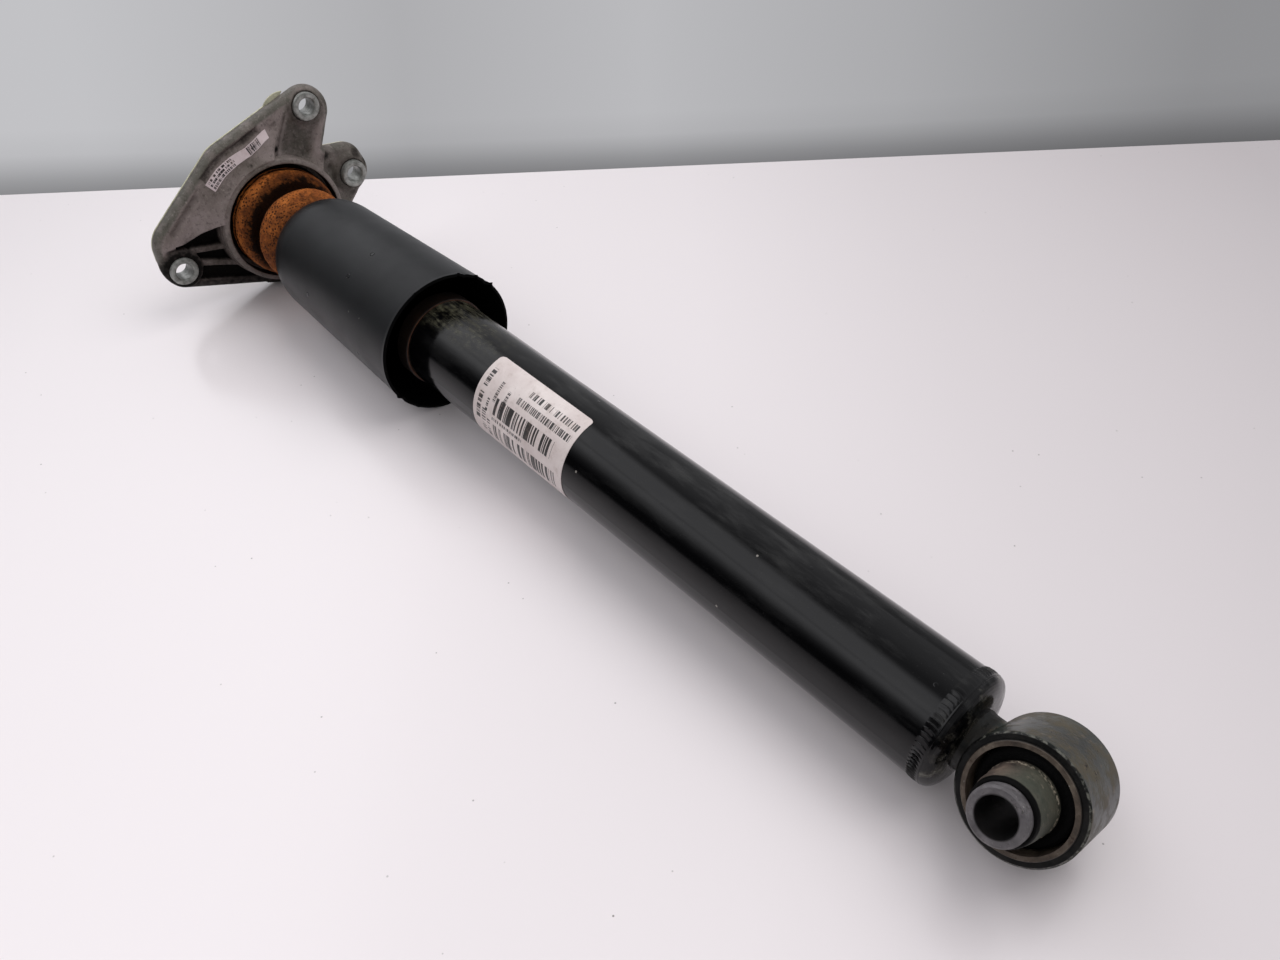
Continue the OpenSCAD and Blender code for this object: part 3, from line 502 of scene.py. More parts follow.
def make_piece(name, points, faces, material, body, replaces, soft_angle=35.0, values=None, uv=None):
    """A piece from points in millimetres and lists of faces of one size each, riding on a body in place of nodes.

    values are named numbers per point; uv holds a place on the printed film per point. Points on no face are left out.
    """
    faces = [np.asarray(part, np.int32) for part in faces if len(part)]
    corners = np.concatenate([part.ravel() for part in faces])
    sizes = np.concatenate([np.full(len(part), part.shape[1]) for part in faces])
    used, corners = np.unique(corners, return_inverse=True)
    points = np.asarray(points)[used]
    mesh = bpy.data.meshes.new(name)
    mesh.vertices.add(len(points))
    mesh.vertices.foreach_set("co", (np.asarray(points, np.float64) * MM).astype(np.float32).ravel())
    mesh.loops.add(len(corners))
    mesh.loops.foreach_set("vertex_index", corners)
    mesh.polygons.add(len(sizes))
    mesh.polygons.foreach_set("loop_start", np.concatenate([[0], np.cumsum(sizes)[:-1]]).astype(np.int32))
    mesh.update(calc_edges=True)
    mesh.validate()
    for key, numbers in (values or {}).items():
        data = mesh.attributes.new(key, "FLOAT", "POINT").data
        data.foreach_set("value", np.asarray(numbers, np.float32).ravel()[used])
    if uv is not None:
        mesh.uv_layers.new(name="film").data.foreach_set("uv", np.asarray(uv, np.float32)[used][corners].ravel())
    mesh.shade_smooth()
    mesh.set_sharp_from_angle(angle=math.radians(soft_angle))
    mesh.materials.append(material)
    piece = bpy.data.objects.new(name, mesh)
    scene.collection.objects.link(piece)
    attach(piece, body)
    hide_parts(*replaces)
    return piece


def grid_faces(rows, columns, round_rows=False, round_columns=False):
    """The four-sided faces of a grid of points, with the last row or column joined to the first where it is round."""
    i = np.arange(rows if round_rows else rows - 1)
    j = np.arange(columns if round_columns else columns - 1)
    i, j = np.meshgrid(i, j, indexing="ij")
    k, l = (i + 1) % rows, (j + 1) % columns
    return np.stack([i * columns + j, k * columns + j, k * columns + l, i * columns + l], -1).reshape(-1, 4)


def spun(profile, turns=160, wobble=None):
    """A closed profile of [x, radius] in mm turned about the damper's axis.

    wobble gives what to add to the radius at each x and angle.
    """
    profile = np.asarray(profile, float)
    angle = np.linspace(0, 2 * np.pi, turns, endpoint=False)
    x = np.repeat(profile[:, :1], turns, 1)
    r = np.repeat(profile[:, 1:2], turns, 1)
    if wobble is not None:
        r = r + wobble(x, angle[None, :])
    points = np.stack([x, r * np.cos(angle), r * np.sin(angle)], -1).reshape(-1, 3)
    faces = grid_faces(len(profile), turns, True, True)
    # The faces look outwards whichever way the profile runs
    x, r = profile.T
    runs_back = np.sum(x * np.roll(r, -1) - np.roll(x, -1) * r) > 0
    return points, faces if runs_back else faces[:, ::-1]


def on_bore(points):
    """Turns points made about the damper's axis so that x becomes the way along the eye's bore."""
    x, y, z = points.T
    c, s = math.cos(BORE_LIFT), math.sin(BORE_LIFT)
    return np.stack([-y, c * x - s * z, s * x + c * z], -1)


def smooth_line(knots, count):
    """Points along a smooth curve through knots: cubic pieces whose slopes come from the neighbouring knots."""
    knots = np.asarray(knots, float)
    ends = np.vstack([2 * knots[0] - knots[1], knots, 2 * knots[-1] - knots[-2]])
    t = np.linspace(0, len(knots) - 1, count)
    i = np.minimum(t.astype(int), len(knots) - 2)
    f = (t - i)[:, None]
    a, b, c, d = ends[i], ends[i + 1], ends[i + 2], ends[i + 3]
    return 0.5 * (2 * b + (c - a) * f + (2 * a - 5 * b + 4 * c - d) * f ** 2 + (3 * b - a - 3 * c + d) * f ** 3)


def value_noise(p, seed, size):
    """Smooth noise from -1 to 1 at points: the mean of eight plane waves in fixed odd directions, of about a length."""
    rng = np.random.default_rng(seed)
    ways = rng.normal(size=(8, p.shape[-1]))
    ways /= np.linalg.norm(ways, axis=1)[:, None]
    phase = rng.uniform(0, 2 * np.pi, 8)
    length = size * rng.uniform(0.7, 1.5, 8)
    return sum(np.sin(p @ w * 2 * np.pi / l + q) for w, l, q in zip(ways, length, phase)) / 4


def around(x, angle, r):
    """Points on a cylinder of radius r, for noise."""
    return np.stack([x + 0 * angle, r * np.cos(angle) + 0 * x, r * np.sin(angle) + 0 * x], -1)


plastic = moulded_polypropylene()
casting = cast_aluminium()
foam = cellular_polyurethane()
# Steel with clear-passivated zinc: light grey with a dull sheen and dirty spots
zinc = dull_steel("zinc_plated_steel", ("#6e6f6c", "#8f908c", "#a8a9a5"), 0.36, "#5a5853", 0.45, 3.0, 0.5)

# ---------------------------------------------------------------- dust tube
RIM_X, SHOULDER_X, DUST_END_X = 364.7, 487.2, 507.2
RIM_R, SHOULDER_R, GRIP_R = 40.2, 36.5, 25.8
DUST_WALL, DUST_FLARE, SHOULDER_ROWS = 2.0, 0.25, 22


def dust_tube_profile():
    """Outside from the rim's small flare to the shoulder, a quarter ellipse, then back along the inside."""
    t = np.linspace(0, np.pi / 2, SHOULDER_ROWS)
    x = np.concatenate([np.linspace(0, 6, 13), np.linspace(7, SHOULDER_X - RIM_X, 34)])
    taper = np.interp(x, [0, SHOULDER_X - RIM_X], [RIM_R, SHOULDER_R])
    outside = np.stack([RIM_X + x[1:-1], taper[1:-1] - DUST_FLARE * np.clip(x[1:-1] / 2.5, 0, 1)], -1)
    inside = np.stack([RIM_X + x[::-1], taper[::-1] - DUST_WALL + 0.5 * np.exp(-x[::-1] / 1.5)], -1)
    # A step ring a little way inside the mouth
    inside[:, 1] -= 0.9 * np.exp(-(((inside[:, 0] - RIM_X - 9.0) / 1.2) ** 2))
    over_shoulder, under_shoulder = [
        np.stack([SHOULDER_X + length * np.sin(t), low_r + (high_r - low_r) * np.cos(t)], -1)
        for length, low_r, high_r in (
            (DUST_END_X - SHOULDER_X, GRIP_R + 0.8, SHOULDER_R - DUST_FLARE),
            (DUST_END_X - SHOULDER_X - DUST_WALL, GRIP_R, SHOULDER_R - DUST_WALL),
        )
    ]
    grip_end = [[DUST_END_X, GRIP_R]]
    return np.vstack([outside, over_shoulder, grip_end, under_shoulder[:0:-1], inside]), len(outside)


def rim_nicks(x, angle):
    """Small burrs and nicks near the rim: narrow bumps of the radius at a few angles, which fade within 3 mm."""
    near = np.clip(1 - (x - RIM_X) / 3.0, 0, 1)
    # Angle, height in mm and width in radians
    nicks = (
        (2.50, 1.7, 0.018), (2.38, -0.9, 0.03), (2.2, 1.3, 0.018), (2.0, -0.7, 0.02), (1.9, 1.2, 0.018),
        (1.2, 0.35, 0.02), (-0.5, 1.2, 0.02), (-0.58, -0.6, 0.03), (-0.9, 0.5, 0.02),
    )
    turned = ((np.angle(np.exp(1j * (angle - at))) / width, height) for at, height, width in nicks)
    return near * sum(height * np.exp(-off ** 2) for off, height in turned)


def dust_tube():
    """The dust tube, with painted shade in near black at its mouth and inside."""
    turns = 256
    profile, outside_rows = dust_tube_profile()
    points, faces = spun(profile, turns, rim_nicks)
    # Painted shade: near black at the mouth's edge, over the grip end, under the shoulder and all over the inside
    shaded_inside = np.ones(len(profile))
    shaded_inside[1:outside_rows + SHOULDER_ROWS] = 0.0
    make_piece(
        "dust_tube_shell", points, [faces], plastic, "dust_tube", ["dust_tube"], 40,
        {"dirt_and_shade": np.repeat(shaded_inside, turns)},
    )


dust_tube()

# ---------------------------------------------------------------- bump stop
# The bump stop from the mount down, as x and radius: two rings, a deep groove and the lower ring's rounded end
BUMP_TOP_X, BUMP_END_X, ROD_HOLE_R = 561.7, 486.0, 6.5
BUMP_KNOTS = [
    (BUMP_TOP_X, 30.8), (560.0, 33.2), (558.2, 34.3), (556.8, 34.35), (556.0, 33.7), (555.2, 33.75), (553.0, 34.1),
    (550.0, 34.0), (547.0, 33.2), (543.6, 31.6), (541.0, 29.2), (538.6, 27.5), (536.6, 27.0),
    (534.2, 27.6), (531.6, 29.2), (528.4, 30.3), (525.2, 30.2), (521.2, 29.2), (515.5, 27.4), (510.5, 25.75),
    (505.7, 25.3), (502.5, 25.7), (499.0, 27.2), (494.7, 27.9), (491.5, 26.9), (488.6, 23.6), (486.6, 20.0),
    (BUMP_END_X, 17.5),
]


def bump_stop():
    """The foam rings: a smooth profile with uneven swelling. Dirt and painted shade are strongest where the profile is
    hollow.
    """
    rows, turns = 170, 288
    outer = smooth_line(BUMP_KNOTS, rows)
    profile = np.vstack([outer, [
        [BUMP_END_X, 12.0], [BUMP_END_X, ROD_HOLE_R], [520.0, ROD_HOLE_R], [BUMP_TOP_X, ROD_HOLE_R], [BUMP_TOP_X, 18.0],
    ]])
    is_outer = (np.arange(len(profile)) < rows)[:, None]

    def swell(x, angle):
        p = around(x, angle, 30)
        lumps = value_noise(p, 3, 21.0) + 0.5 * value_noise(p, 4, 6.0) + 0.3 * value_noise(p, 5, 2.6)
        # The foam stays even where the dust tube grips it
        return np.where(x > 511, 0.26, 0.0) * lumps * is_outer

    points, faces = spun(profile, turns, swell)
    # Dirt with painted shade in the hollows of the profile
    hollow_dirt_and_shade = np.interp(
        profile[:, 0], [505, 513, 520, 526, 530, 533, 537, 540, 543, 547, 552, 555.4, 556.1, 556.9, 559, 562],
        [0.65, 0.40, 0.20, 0.05, 0.1, 0.45, 1.0, 0.95, 0.50, 0.2, 0.0, 0.10, 0.75, 0.05, 0.3, 1.0],
    )
    angle = np.linspace(0, 2 * np.pi, turns, endpoint=False)
    # Painted shade: darker on the side away from the ceiling lamp
    hollow_dirt_and_shade = hollow_dirt_and_shade[:, None] * (0.82 + 0.26 * np.cos(angle - 0.2))[None, :]
    # Painted shade: the rings are darker over their top and far side, more so towards the mount
    stain_and_shade = np.interp(profile[:, 0], [530, 545], [0.12, 0.42])[:, None]
    hollow_dirt_and_shade = hollow_dirt_and_shade + stain_and_shade * np.interp(angle, [1.0, 2.0, 3.4, 4.6], [0, 1, 1, 0])
    # Painted shade: the pores are darkest on the side that faces down and forwards, away from the ceiling lamp, and
    # fade towards the top
    shaded_side = np.clip(0.35 + 0.65 * np.cos(angle - 0.35), 0.12, 1)[None, :] + 0 * hollow_dirt_and_shade
    rings = make_piece(
        "bump_stop_foam", points, [faces], foam, "rod_assembly", ["bump_stop"], 50,
        {"dirt_and_shade": hollow_dirt_and_shade, "shaded_side": shaded_side},
    )
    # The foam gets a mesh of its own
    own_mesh(rings)


bump_stop()

# ---------------------------------------------------------------- weld and label of the tube
TUBE_R = 24.5
WELD_X, TUBE_X = 31.0, 37.0
WELD_CROWN, WELD_BACK_R, RIPPLES, RIPPLE_DEPTH = 0.30, 22.6, 76, 0.55


def weld_bead():
    """The seam weld: a low crown with slanted creases, deep in some stretches and gone in others, and a seam line."""
    turns, rows = 1440, 26
    u = np.linspace(0, 1, rows)[:, None]
    angle = np.linspace(0, 2 * np.pi, turns, endpoint=False)[None, :]
    crown = WELD_CROWN * np.sin(np.pi * u)
    # Each ripple climbs slowly and drops sharply; its way across the bead is bent
    drift = 0.14 * np.sin(3 * angle + 0.7) + 0.10 * np.sin(7 * angle) + 0.06 * np.sin(17 * angle + 2)
    turn = RIPPLES * angle / (2 * np.pi) + 1.5 * (u - 0.35) ** 2 - 0.9 * u + drift
    climb = turn - np.floor(turn)
    ripple = climb ** 1.5 * np.clip(9 * (1 - climb), 0, 1) - 0.35
    stretch = 0.62 + 0.5 * np.sin(3 * angle + 0.4) + 0.4 * np.sin(5 * angle + 2.0) + 0.25 * np.sin(11 * angle)
    within = np.clip(5 * (1 - u), 0, 1) * np.clip(6 * (u - 0.14), 0, 1)
    r = TUBE_R + crown + RIPPLE_DEPTH * np.clip(stretch, 0.12, 1) * ripple * within
    # The seam itself: a thin raised line at the dome's side
    r = r + 0.30 * np.exp(-(((u - 0.06) / 0.03) ** 2))
    r = np.vstack([r, np.full((2, turns), WELD_BACK_R)])
    x = np.concatenate([WELD_X + (TUBE_X - WELD_X) * u[:, 0], [TUBE_X, WELD_X]])[:, None] + 0 * angle
    points = np.stack([x, r * np.cos(angle), r * np.sin(angle)], -1).reshape(-1, 3)
    paint = gloss_enamel("enamel_over_weld", base_dirt=0.25)
    faces = grid_faces(len(x), turns, True, True)[:, ::-1]
    make_piece("seam_weld", points, [faces], paint, "damper_body", ["base_weld"], 60)


weld_bead()


def film_shell(front, back, rows, columns):
    """A thin closed shell from two grids of points: the front's faces, the back's and the edge between them."""
    count = rows * columns
    across = np.arange(columns)
    down = np.arange(1, rows) * columns + columns - 1
    edge = np.concatenate([
        across, down, (rows - 1) * columns + across[-2::-1], np.arange(rows - 2, 0, -1) * columns,
    ])
    after = np.roll(edge, -1)
    faces = grid_faces(rows, columns)
    sides = np.stack([after, edge, edge + count, after + count], -1)
    return np.vstack([front, back]), np.vstack([faces[:, ::-1], faces + count, sides])


def film_on_tube():
    """The tube's label: a thin sheet bent round the tube, with wide corners at its rod end."""
    # Its middle line and how far it goes up and down from there, in degrees, and its two ends
    lift, top, low = 30.0, 53.0, -75.0
    x0, x1 = TUBE_X + 197, TUBE_X + 268
    rows, columns = 97, 73
    v = np.linspace(0, 1, rows)
    from_edge = np.minimum(v, 1 - v) * np.radians(top - low) * TUBE_R
    near, far = [
        c - np.sqrt(np.maximum(c ** 2 - np.maximum(c - from_edge, 0) ** 2, 0))
        for c in (2.0, np.where(v > 0.5, 2.6, 8.0))
    ]
    u = np.linspace(0, 1, columns)
    x = (x1 - far)[:, None] + u[None, :] * ((x0 + near) - (x1 - far))[:, None]
    angle = np.radians(lift + low + v * (top - low))[:, None] + 0 * x
    front, back = [
        np.stack([x, r * np.cos(angle), r * np.sin(angle)], -1).reshape(-1, 3)
        for r in (TUBE_R + 0.22, TUBE_R + 0.03)
    ]
    points, faces = film_shell(front, back, rows, columns)
    uv = np.stack([(x1 - x) / (x1 - x0), np.repeat(v[:, None], columns, 1)], -1).reshape(-1, 2)
    bars = [
        (0.46, 0.96, 0.825, 0.885, 100), (0.40, 0.96, 0.715, 0.775, 96), (0.22, 0.86, 0.49, 0.65, 74),
        (0.22, 0.56, 0.435, 0.46, 90), (0.24, 0.92, 0.22, 0.39, 70), (0.045, 0.085, 0.36, 0.88, -70),
        (0.11, 0.15, 0.26, 0.52, -60), (0.17, 0.20, 0.20, 0.42, -60), (0.19, 0.215, 0.60, 0.80, -100),
        (0.29, 0.315, 0.56, 0.76, -100), (0.14, 0.16, 0.48, 0.60, -90),
    ]
    film = printed_film("printed_polyester_film", bars, ("#cfc2bf", "#e3d9d6"))
    make_piece(
        "tube_film", points, [faces], film, "damper_body", ["tube_label"], 50, uv=np.vstack([uv, uv]),
    )


film_on_tube()

# ---------------------------------------------------------------- lower bush


def bush_cone():
    """The bush's rubber: a cone on each side with a rolled tip and a hollow fillet down to the outer sleeve."""
    turns = 192
    half = smooth_line([
        (0.0, 18.05), (11.0, 17.4), (12.6, 16.8), (13.0, 14.8), (14.0, 13.4), (15.4, 12.85), (17.0, 12.75), (22, 12.45),
        (27, 12.2), (30.2, 11.8), (31.4, 11.7), (32.4, 11.3), (32.7, 10.45),
    ], 80)
    outer = np.vstack([half[::-1] * (-1, 1), half[1:]])
    inner_r = 10.36
    profile = np.vstack([outer, [[20.0, inner_r], [0.0, inner_r], [-20.0, inner_r]]])
    is_outer = (np.arange(len(profile)) < len(outer))[:, None]
    far = np.abs(profile[:, 0])

    def swell(x, angle):
        p = around(x, angle, 13)
        crumbs = np.clip(value_noise(p, 21, 1.6), 0, 1) * np.exp(-(((np.abs(x) - 16.4) / 0.8) ** 2))
        return (0.10 * value_noise(p, 9, 5.0) * (np.abs(x) > 16) + 0.35 * crumbs) * is_outer

    points, faces = spun(profile, turns, swell)
    # Painted shade: near black in the recess down to the outer sleeve and at the tip by the inner sleeve
    shaded_gaps = np.interp(far, [14.6, 15.6, 29.8, 30.8], [1.0, 0.0, 0.0, 1.0])
    crust = np.exp(-(((far - 16.5) / 0.9) ** 2))
    make_piece(
        "bush_cone", on_bore(points), [faces], dusty_rubber(), "bush_rubber", ["bush_rubber"], 40,
        {"dirt_and_shade": np.repeat(shaded_gaps, turns), "crust": np.repeat(crust, turns)},
    )


bush_cone()

# ---------------------------------------------------------------- mount casting


def polar(r, at):
    """A point of the mount's plane from a distance and an angle in degrees."""
    return np.array([r * math.cos(math.radians(at)), r * math.sin(math.radians(at))])


SEAT_X = 571.0
EAR_B_AT = 117.4
# Ears A, B and C
EARS = [polar(71.7, -9.6), polar(73.1, EAR_B_AT), polar(57.7, 167)]
EAR_A = EARS[0]
EAR_LEVEL, FIELD_RISE, EDGE_LEVEL = 9.5, 6.0, 4.2
CUP_OUT_R = 41.0
# The raised field's corners on its side next to ear A
FIELD_SIDE = [polar(40.5, 14.5), polar(52.5, 8.2), polar(65.5, 3.6)]
LONG_EDGE_CENTRE = np.array([-16.0, -33.0])
# The straight edge between the trough and ear C: a point of it and the way across it
NOTCH, TROUGH_NORMAL = np.array([-40.7, 34.7]), np.array([-0.925, -0.381])
# Dark spots: place, size and strength
DARK_SPOTS = (
    ((-7.5, 44.5), 2.2, 1.1), ((-24.0, 53.0), 8.0, 0.42), ((-34.0, 60.0), 6.0, 0.38), ((-40.5, 29.0), 3.4, 0.75),
    ((-42.5, 21.0), 4.0, 0.55), ((-62.0, 25.0), 3.8, 0.75), ((-67.0, 17.5), 3.4, 0.6), ((-55.0, -0.5), 4.0, 0.5),
    ((-60.5, -5.0), 4.0, 0.5), ((62.0, 4.0), 5.0, 0.4), ((12.0, 41.5), 1.0, 0.7),
)
# The outline's round corners: centre and radius, which is negative in the notch between two ears
CORNERS = [
    ((-18, -38.5), 6), ((10, -38.5), 6), (polar(63.1, -7.7), 18.5), (polar(62.5, 1.0), 18.5), (polar(41, 59.5), 19.5),
    (polar(69.8, 119.4), 14), (polar(55, 139.6), -3), (polar(55.3, 161.7), 14), (polar(57.1, 167), 12.5),
]


def rounded_outline(corners, grow=0.0):
    """Points round corners, joined by straight edges that are tangent to them."""
    c = np.array([k[0] for k in corners], float)
    r = np.array([k[1] for k in corners], float)
    d = np.roll(c, -1, 0) - c
    out = np.arctan2(d[:, 1], d[:, 0]) - np.arccos((r - np.roll(r, -1)) / np.hypot(*d.T))
    points = []
    for i, radius in enumerate(r):
        swing = (out[i] - out[i - 1]) % (2 * np.pi) - (2 * np.pi if radius < 0 else 0)
        t = out[i - 1] + swing * np.linspace(0, 1, max(4, int(abs(swing) / 0.05)))
        points.append(c[i] + (radius + grow) * np.stack([np.cos(t), np.sin(t)], -1))
    return np.vstack(points)


def inside_distance(p, polygon):
    """Distance from points to a polygon's edge, positive inside it."""
    best = np.full(len(p), 1e9)
    crossings = np.zeros(len(p), int)
    for (ay, az), (by, bz) in zip(polygon, np.roll(polygon, -1, 0)):
        ey, ez = by - ay, bz - az
        t = np.clip(((p[:, 0] - ay) * ey + (p[:, 1] - az) * ez) / max(ey * ey + ez * ez, 1e-9), 0, 1)
        best = np.minimum(best, np.hypot(p[:, 0] - ay - t * ey, p[:, 1] - az - t * ez))
        if az != bz:
            crossings += ((az > p[:, 1]) != (bz > p[:, 1])) & (p[:, 0] < ey * (p[:, 1] - az) / (bz - az) + ay)
    return np.where(crossings % 2 == 1, best, -best)


def soft_step(d, width):
    """A smooth rise from 0 to 1 as a distance goes from 0 to width."""
    t = np.clip(d / width, 0, 1)
    return t * t * (3 - 2 * t)


def capsule(p, a, b, r):
    """Distance inside a round-ended bar from a to b."""
    a, b = np.asarray(a, float), np.asarray(b, float)
    t = np.clip((p - a) @ (b - a) / ((b - a) @ (b - a)), 0, 1)
    return r - np.linalg.norm(p - a - t[:, None] * (b - a), axis=1)


def slope_of_field(r):
    """Height of the raised field over the seat: it falls from the cup to the ears' level."""
    at_cup = EAR_LEVEL + FIELD_RISE
    return np.clip(at_cup - FIELD_RISE * (r - CUP_OUT_R) / 17.0, EAR_LEVEL, at_cup)


def mount_relief(p):
    """Height over the seat, dirt with painted shade, and rim film of the casting's front at points [y, z].

    A convex edge round the ears, a raised field that slopes outwards, a trough behind one ear, a lower ear, ribbed
    pockets at the third ear, and two grooves.
    """
    r = np.hypot(*p.T)
    to_edge = inside_distance(p, rounded_outline(CORNERS))
    rings = [np.hypot(*(p - ear).T) for ear in EARS]
    # A convex edge all round
    convex = np.sqrt(1 - (1 - np.clip((to_edge + 1.5) / 4.6, 0, 1)) ** 2)
    height = EDGE_LEVEL + (EAR_LEVEL - EDGE_LEVEL) * convex
    trough_way, trough_side = polar(150.0, EAR_B_AT), polar(14.5, EAR_B_AT - 90)
    field = np.array([*FIELD_SIDE, (150.0, 4.1), trough_side + trough_way, trough_side])
    in_field = inside_distance(p, field)
    # The wall is steep at the pockets and leans at the trough
    lean = np.where(p[:, 1] - p[:, 0] > 15, 4.0, 1.2)
    height = height + (slope_of_field(r) - EAR_LEVEL) * soft_step(in_field + 0.5 * lean - 0.4, lean)
    # The trough sinks towards the cup, and ear C lies lower behind the trough's straight edge
    trough = capsule(p, polar(46, EAR_B_AT), polar(60, EAR_B_AT), 13.0)
    sink = soft_step(trough, 6.0) * soft_step(rings[1] - 8, 8)
    past = (p - NOTCH) @ TROUGH_NORMAL
    height = height - 2.2 * sink * soft_step(-past, 1.0)
    behind = soft_step(past, 1.2) * soft_step(p[:, 1] + 22, 6)
    height = height - behind * (3.2 - 1.7 * soft_step(14.5 - rings[2], 3.0))
    for ring in rings:
        height = height + 0.5 * soft_step(12.6 - ring, 2.5)
    height = height + 1.2 * np.clip(1 - (r - CUP_OUT_R) / 4.5, 0, 1) ** 1.5 * (1 - behind)
    # Grooves: one along the long edge, deep at its ends, and a faint straight one towards ear A
    off = p - LONG_EDGE_CENTRE
    at = np.degrees(np.arctan2(off[:, 1], off[:, 0]))
    along = np.clip((at - 50) / 30, 0, 1)
    middle = np.interp(at, [50, 55, 60, 66, 72, 80], [92.2, 92.8, 93.3, 92.8, 92.2, 93.6])
    groove = np.minimum(2.2 - np.abs(np.hypot(*off.T) - middle), 1.64 * (14.6 - np.abs(at - 65.4)))
    straight = capsule(p, (49.5, 30.0), (69.0, 12.4), 3.4)
    height = height - 2.1 * soft_step(groove + 0.5, 2.8) - 1.2 * soft_step(straight, 3.4)
    # The grooves are dark with dirt and painted shade, most at the long groove's ends, where its walls shade it
    ends = 0.55 * np.clip(1.0 - 2.6 * along, 0, 1) + 0.75 * np.exp(-(((along - 0.80) / 0.11) ** 2))
    in_groove = soft_step(groove + 1.3, 3.0) * np.clip(0.42 + 0.3 * ends, 0, 0.62)
    dirt_and_shade = np.maximum(in_groove, 0.30 * soft_step(straight, 3.4))
    # Pockets between ear A and the cup, with two ribs
    wedge = np.array([(0, 0), *FIELD_SIDE, (EAR_A[0], 4.1), (EAR_A[0], -71.7), (0, -71.7)])
    pocket = np.minimum(inside_distance(p, wedge), np.minimum(to_edge - 3.8, r - 41.8))
    pocket = np.minimum(pocket, rings[0] - 12.6)
    for on_cup, on_boss in ((-9.5, 139), (-30, 184)):
        pocket = np.minimum(pocket, -capsule(p, polar(41, on_cup), EAR_A + polar(13.3, on_boss), 1.5))
    ribs = soft_step(9.0 - np.abs(pocket), 6.0) * soft_step(-in_field - 0.5, 2.0) * (p[:, 0] > 20) * (p[:, 1] < 12)
    height = height - 2.4 * ribs * soft_step(r - CUP_OUT_R - 0.6, 1.0) * soft_step(rings[0] - 12, 2)
    pocket_floor = 2.6
    height = height - soft_step(pocket, 1.4) * (height - pocket_floor)
    # Pocket floors and ribs are dark with dirt and painted shade in the recesses
    dirt_and_shade = np.maximum(dirt_and_shade, np.maximum(soft_step(pocket + 0.3, 1.4), 0.42 * ribs))
    # Dark round the first sleeve; painted shade in the trough's corner against the cup, round the lower ears, in thin
    # rings round the other two sleeves and at the foot of the field's wall; darker along the lower edge and in spots
    dirt_and_shade = np.maximum(dirt_and_shade, 0.9 * np.clip(1.5 - (rings[0] - 8.8) / 5.0, 0, 1))
    # Painted shade in the sunken trough and round the lower ears
    low_ears = soft_step(17 - np.minimum(rings[1], rings[2]), 6)
    dirt_and_shade = np.maximum(dirt_and_shade, 0.36 * np.maximum(sink, low_ears) * soft_step(to_edge - 1.5, 2.5))
    # Painted shadow: thin dark rings round the raised sleeves of ears B and C
    for ring in rings[1:]:
        dirt_and_shade = np.maximum(dirt_and_shade, 0.7 * np.exp(-(((ring - 9.1) / 0.8) ** 2)))
    # Painted shade at the foot of the field's leaning wall beside the trough
    dirt_and_shade = np.maximum(dirt_and_shade, 0.5 * np.clip(1 - np.abs(in_field + 2.2) / 2.4, 0, 1) * (to_edge > 5) * (lean > 2))
    # Darker along the lower edge
    dirt_and_shade = np.maximum(dirt_and_shade, 0.72 * soft_step(5.5 - to_edge, 2.0) * soft_step(-16 - p[:, 1], 5))
    for place, size, share in DARK_SPOTS:
        dirt_and_shade = np.maximum(dirt_and_shade, share * np.exp(-(np.hypot(*(p - place).T) / size) ** 2))
    rim = np.clip(1 - soft_step(to_edge - 0.8, 1.6) + 0.75 * low_ears, 0, 1)
    rim = np.maximum(rim, np.maximum(0.8 * sink, 0.8 * behind))
    height = height + 0.10 * value_noise(p, 5, 9.0) + 0.05 * value_noise(p, 6, 3.0)
    return np.clip(height, 1.6, 16.6), dirt_and_shade, rim


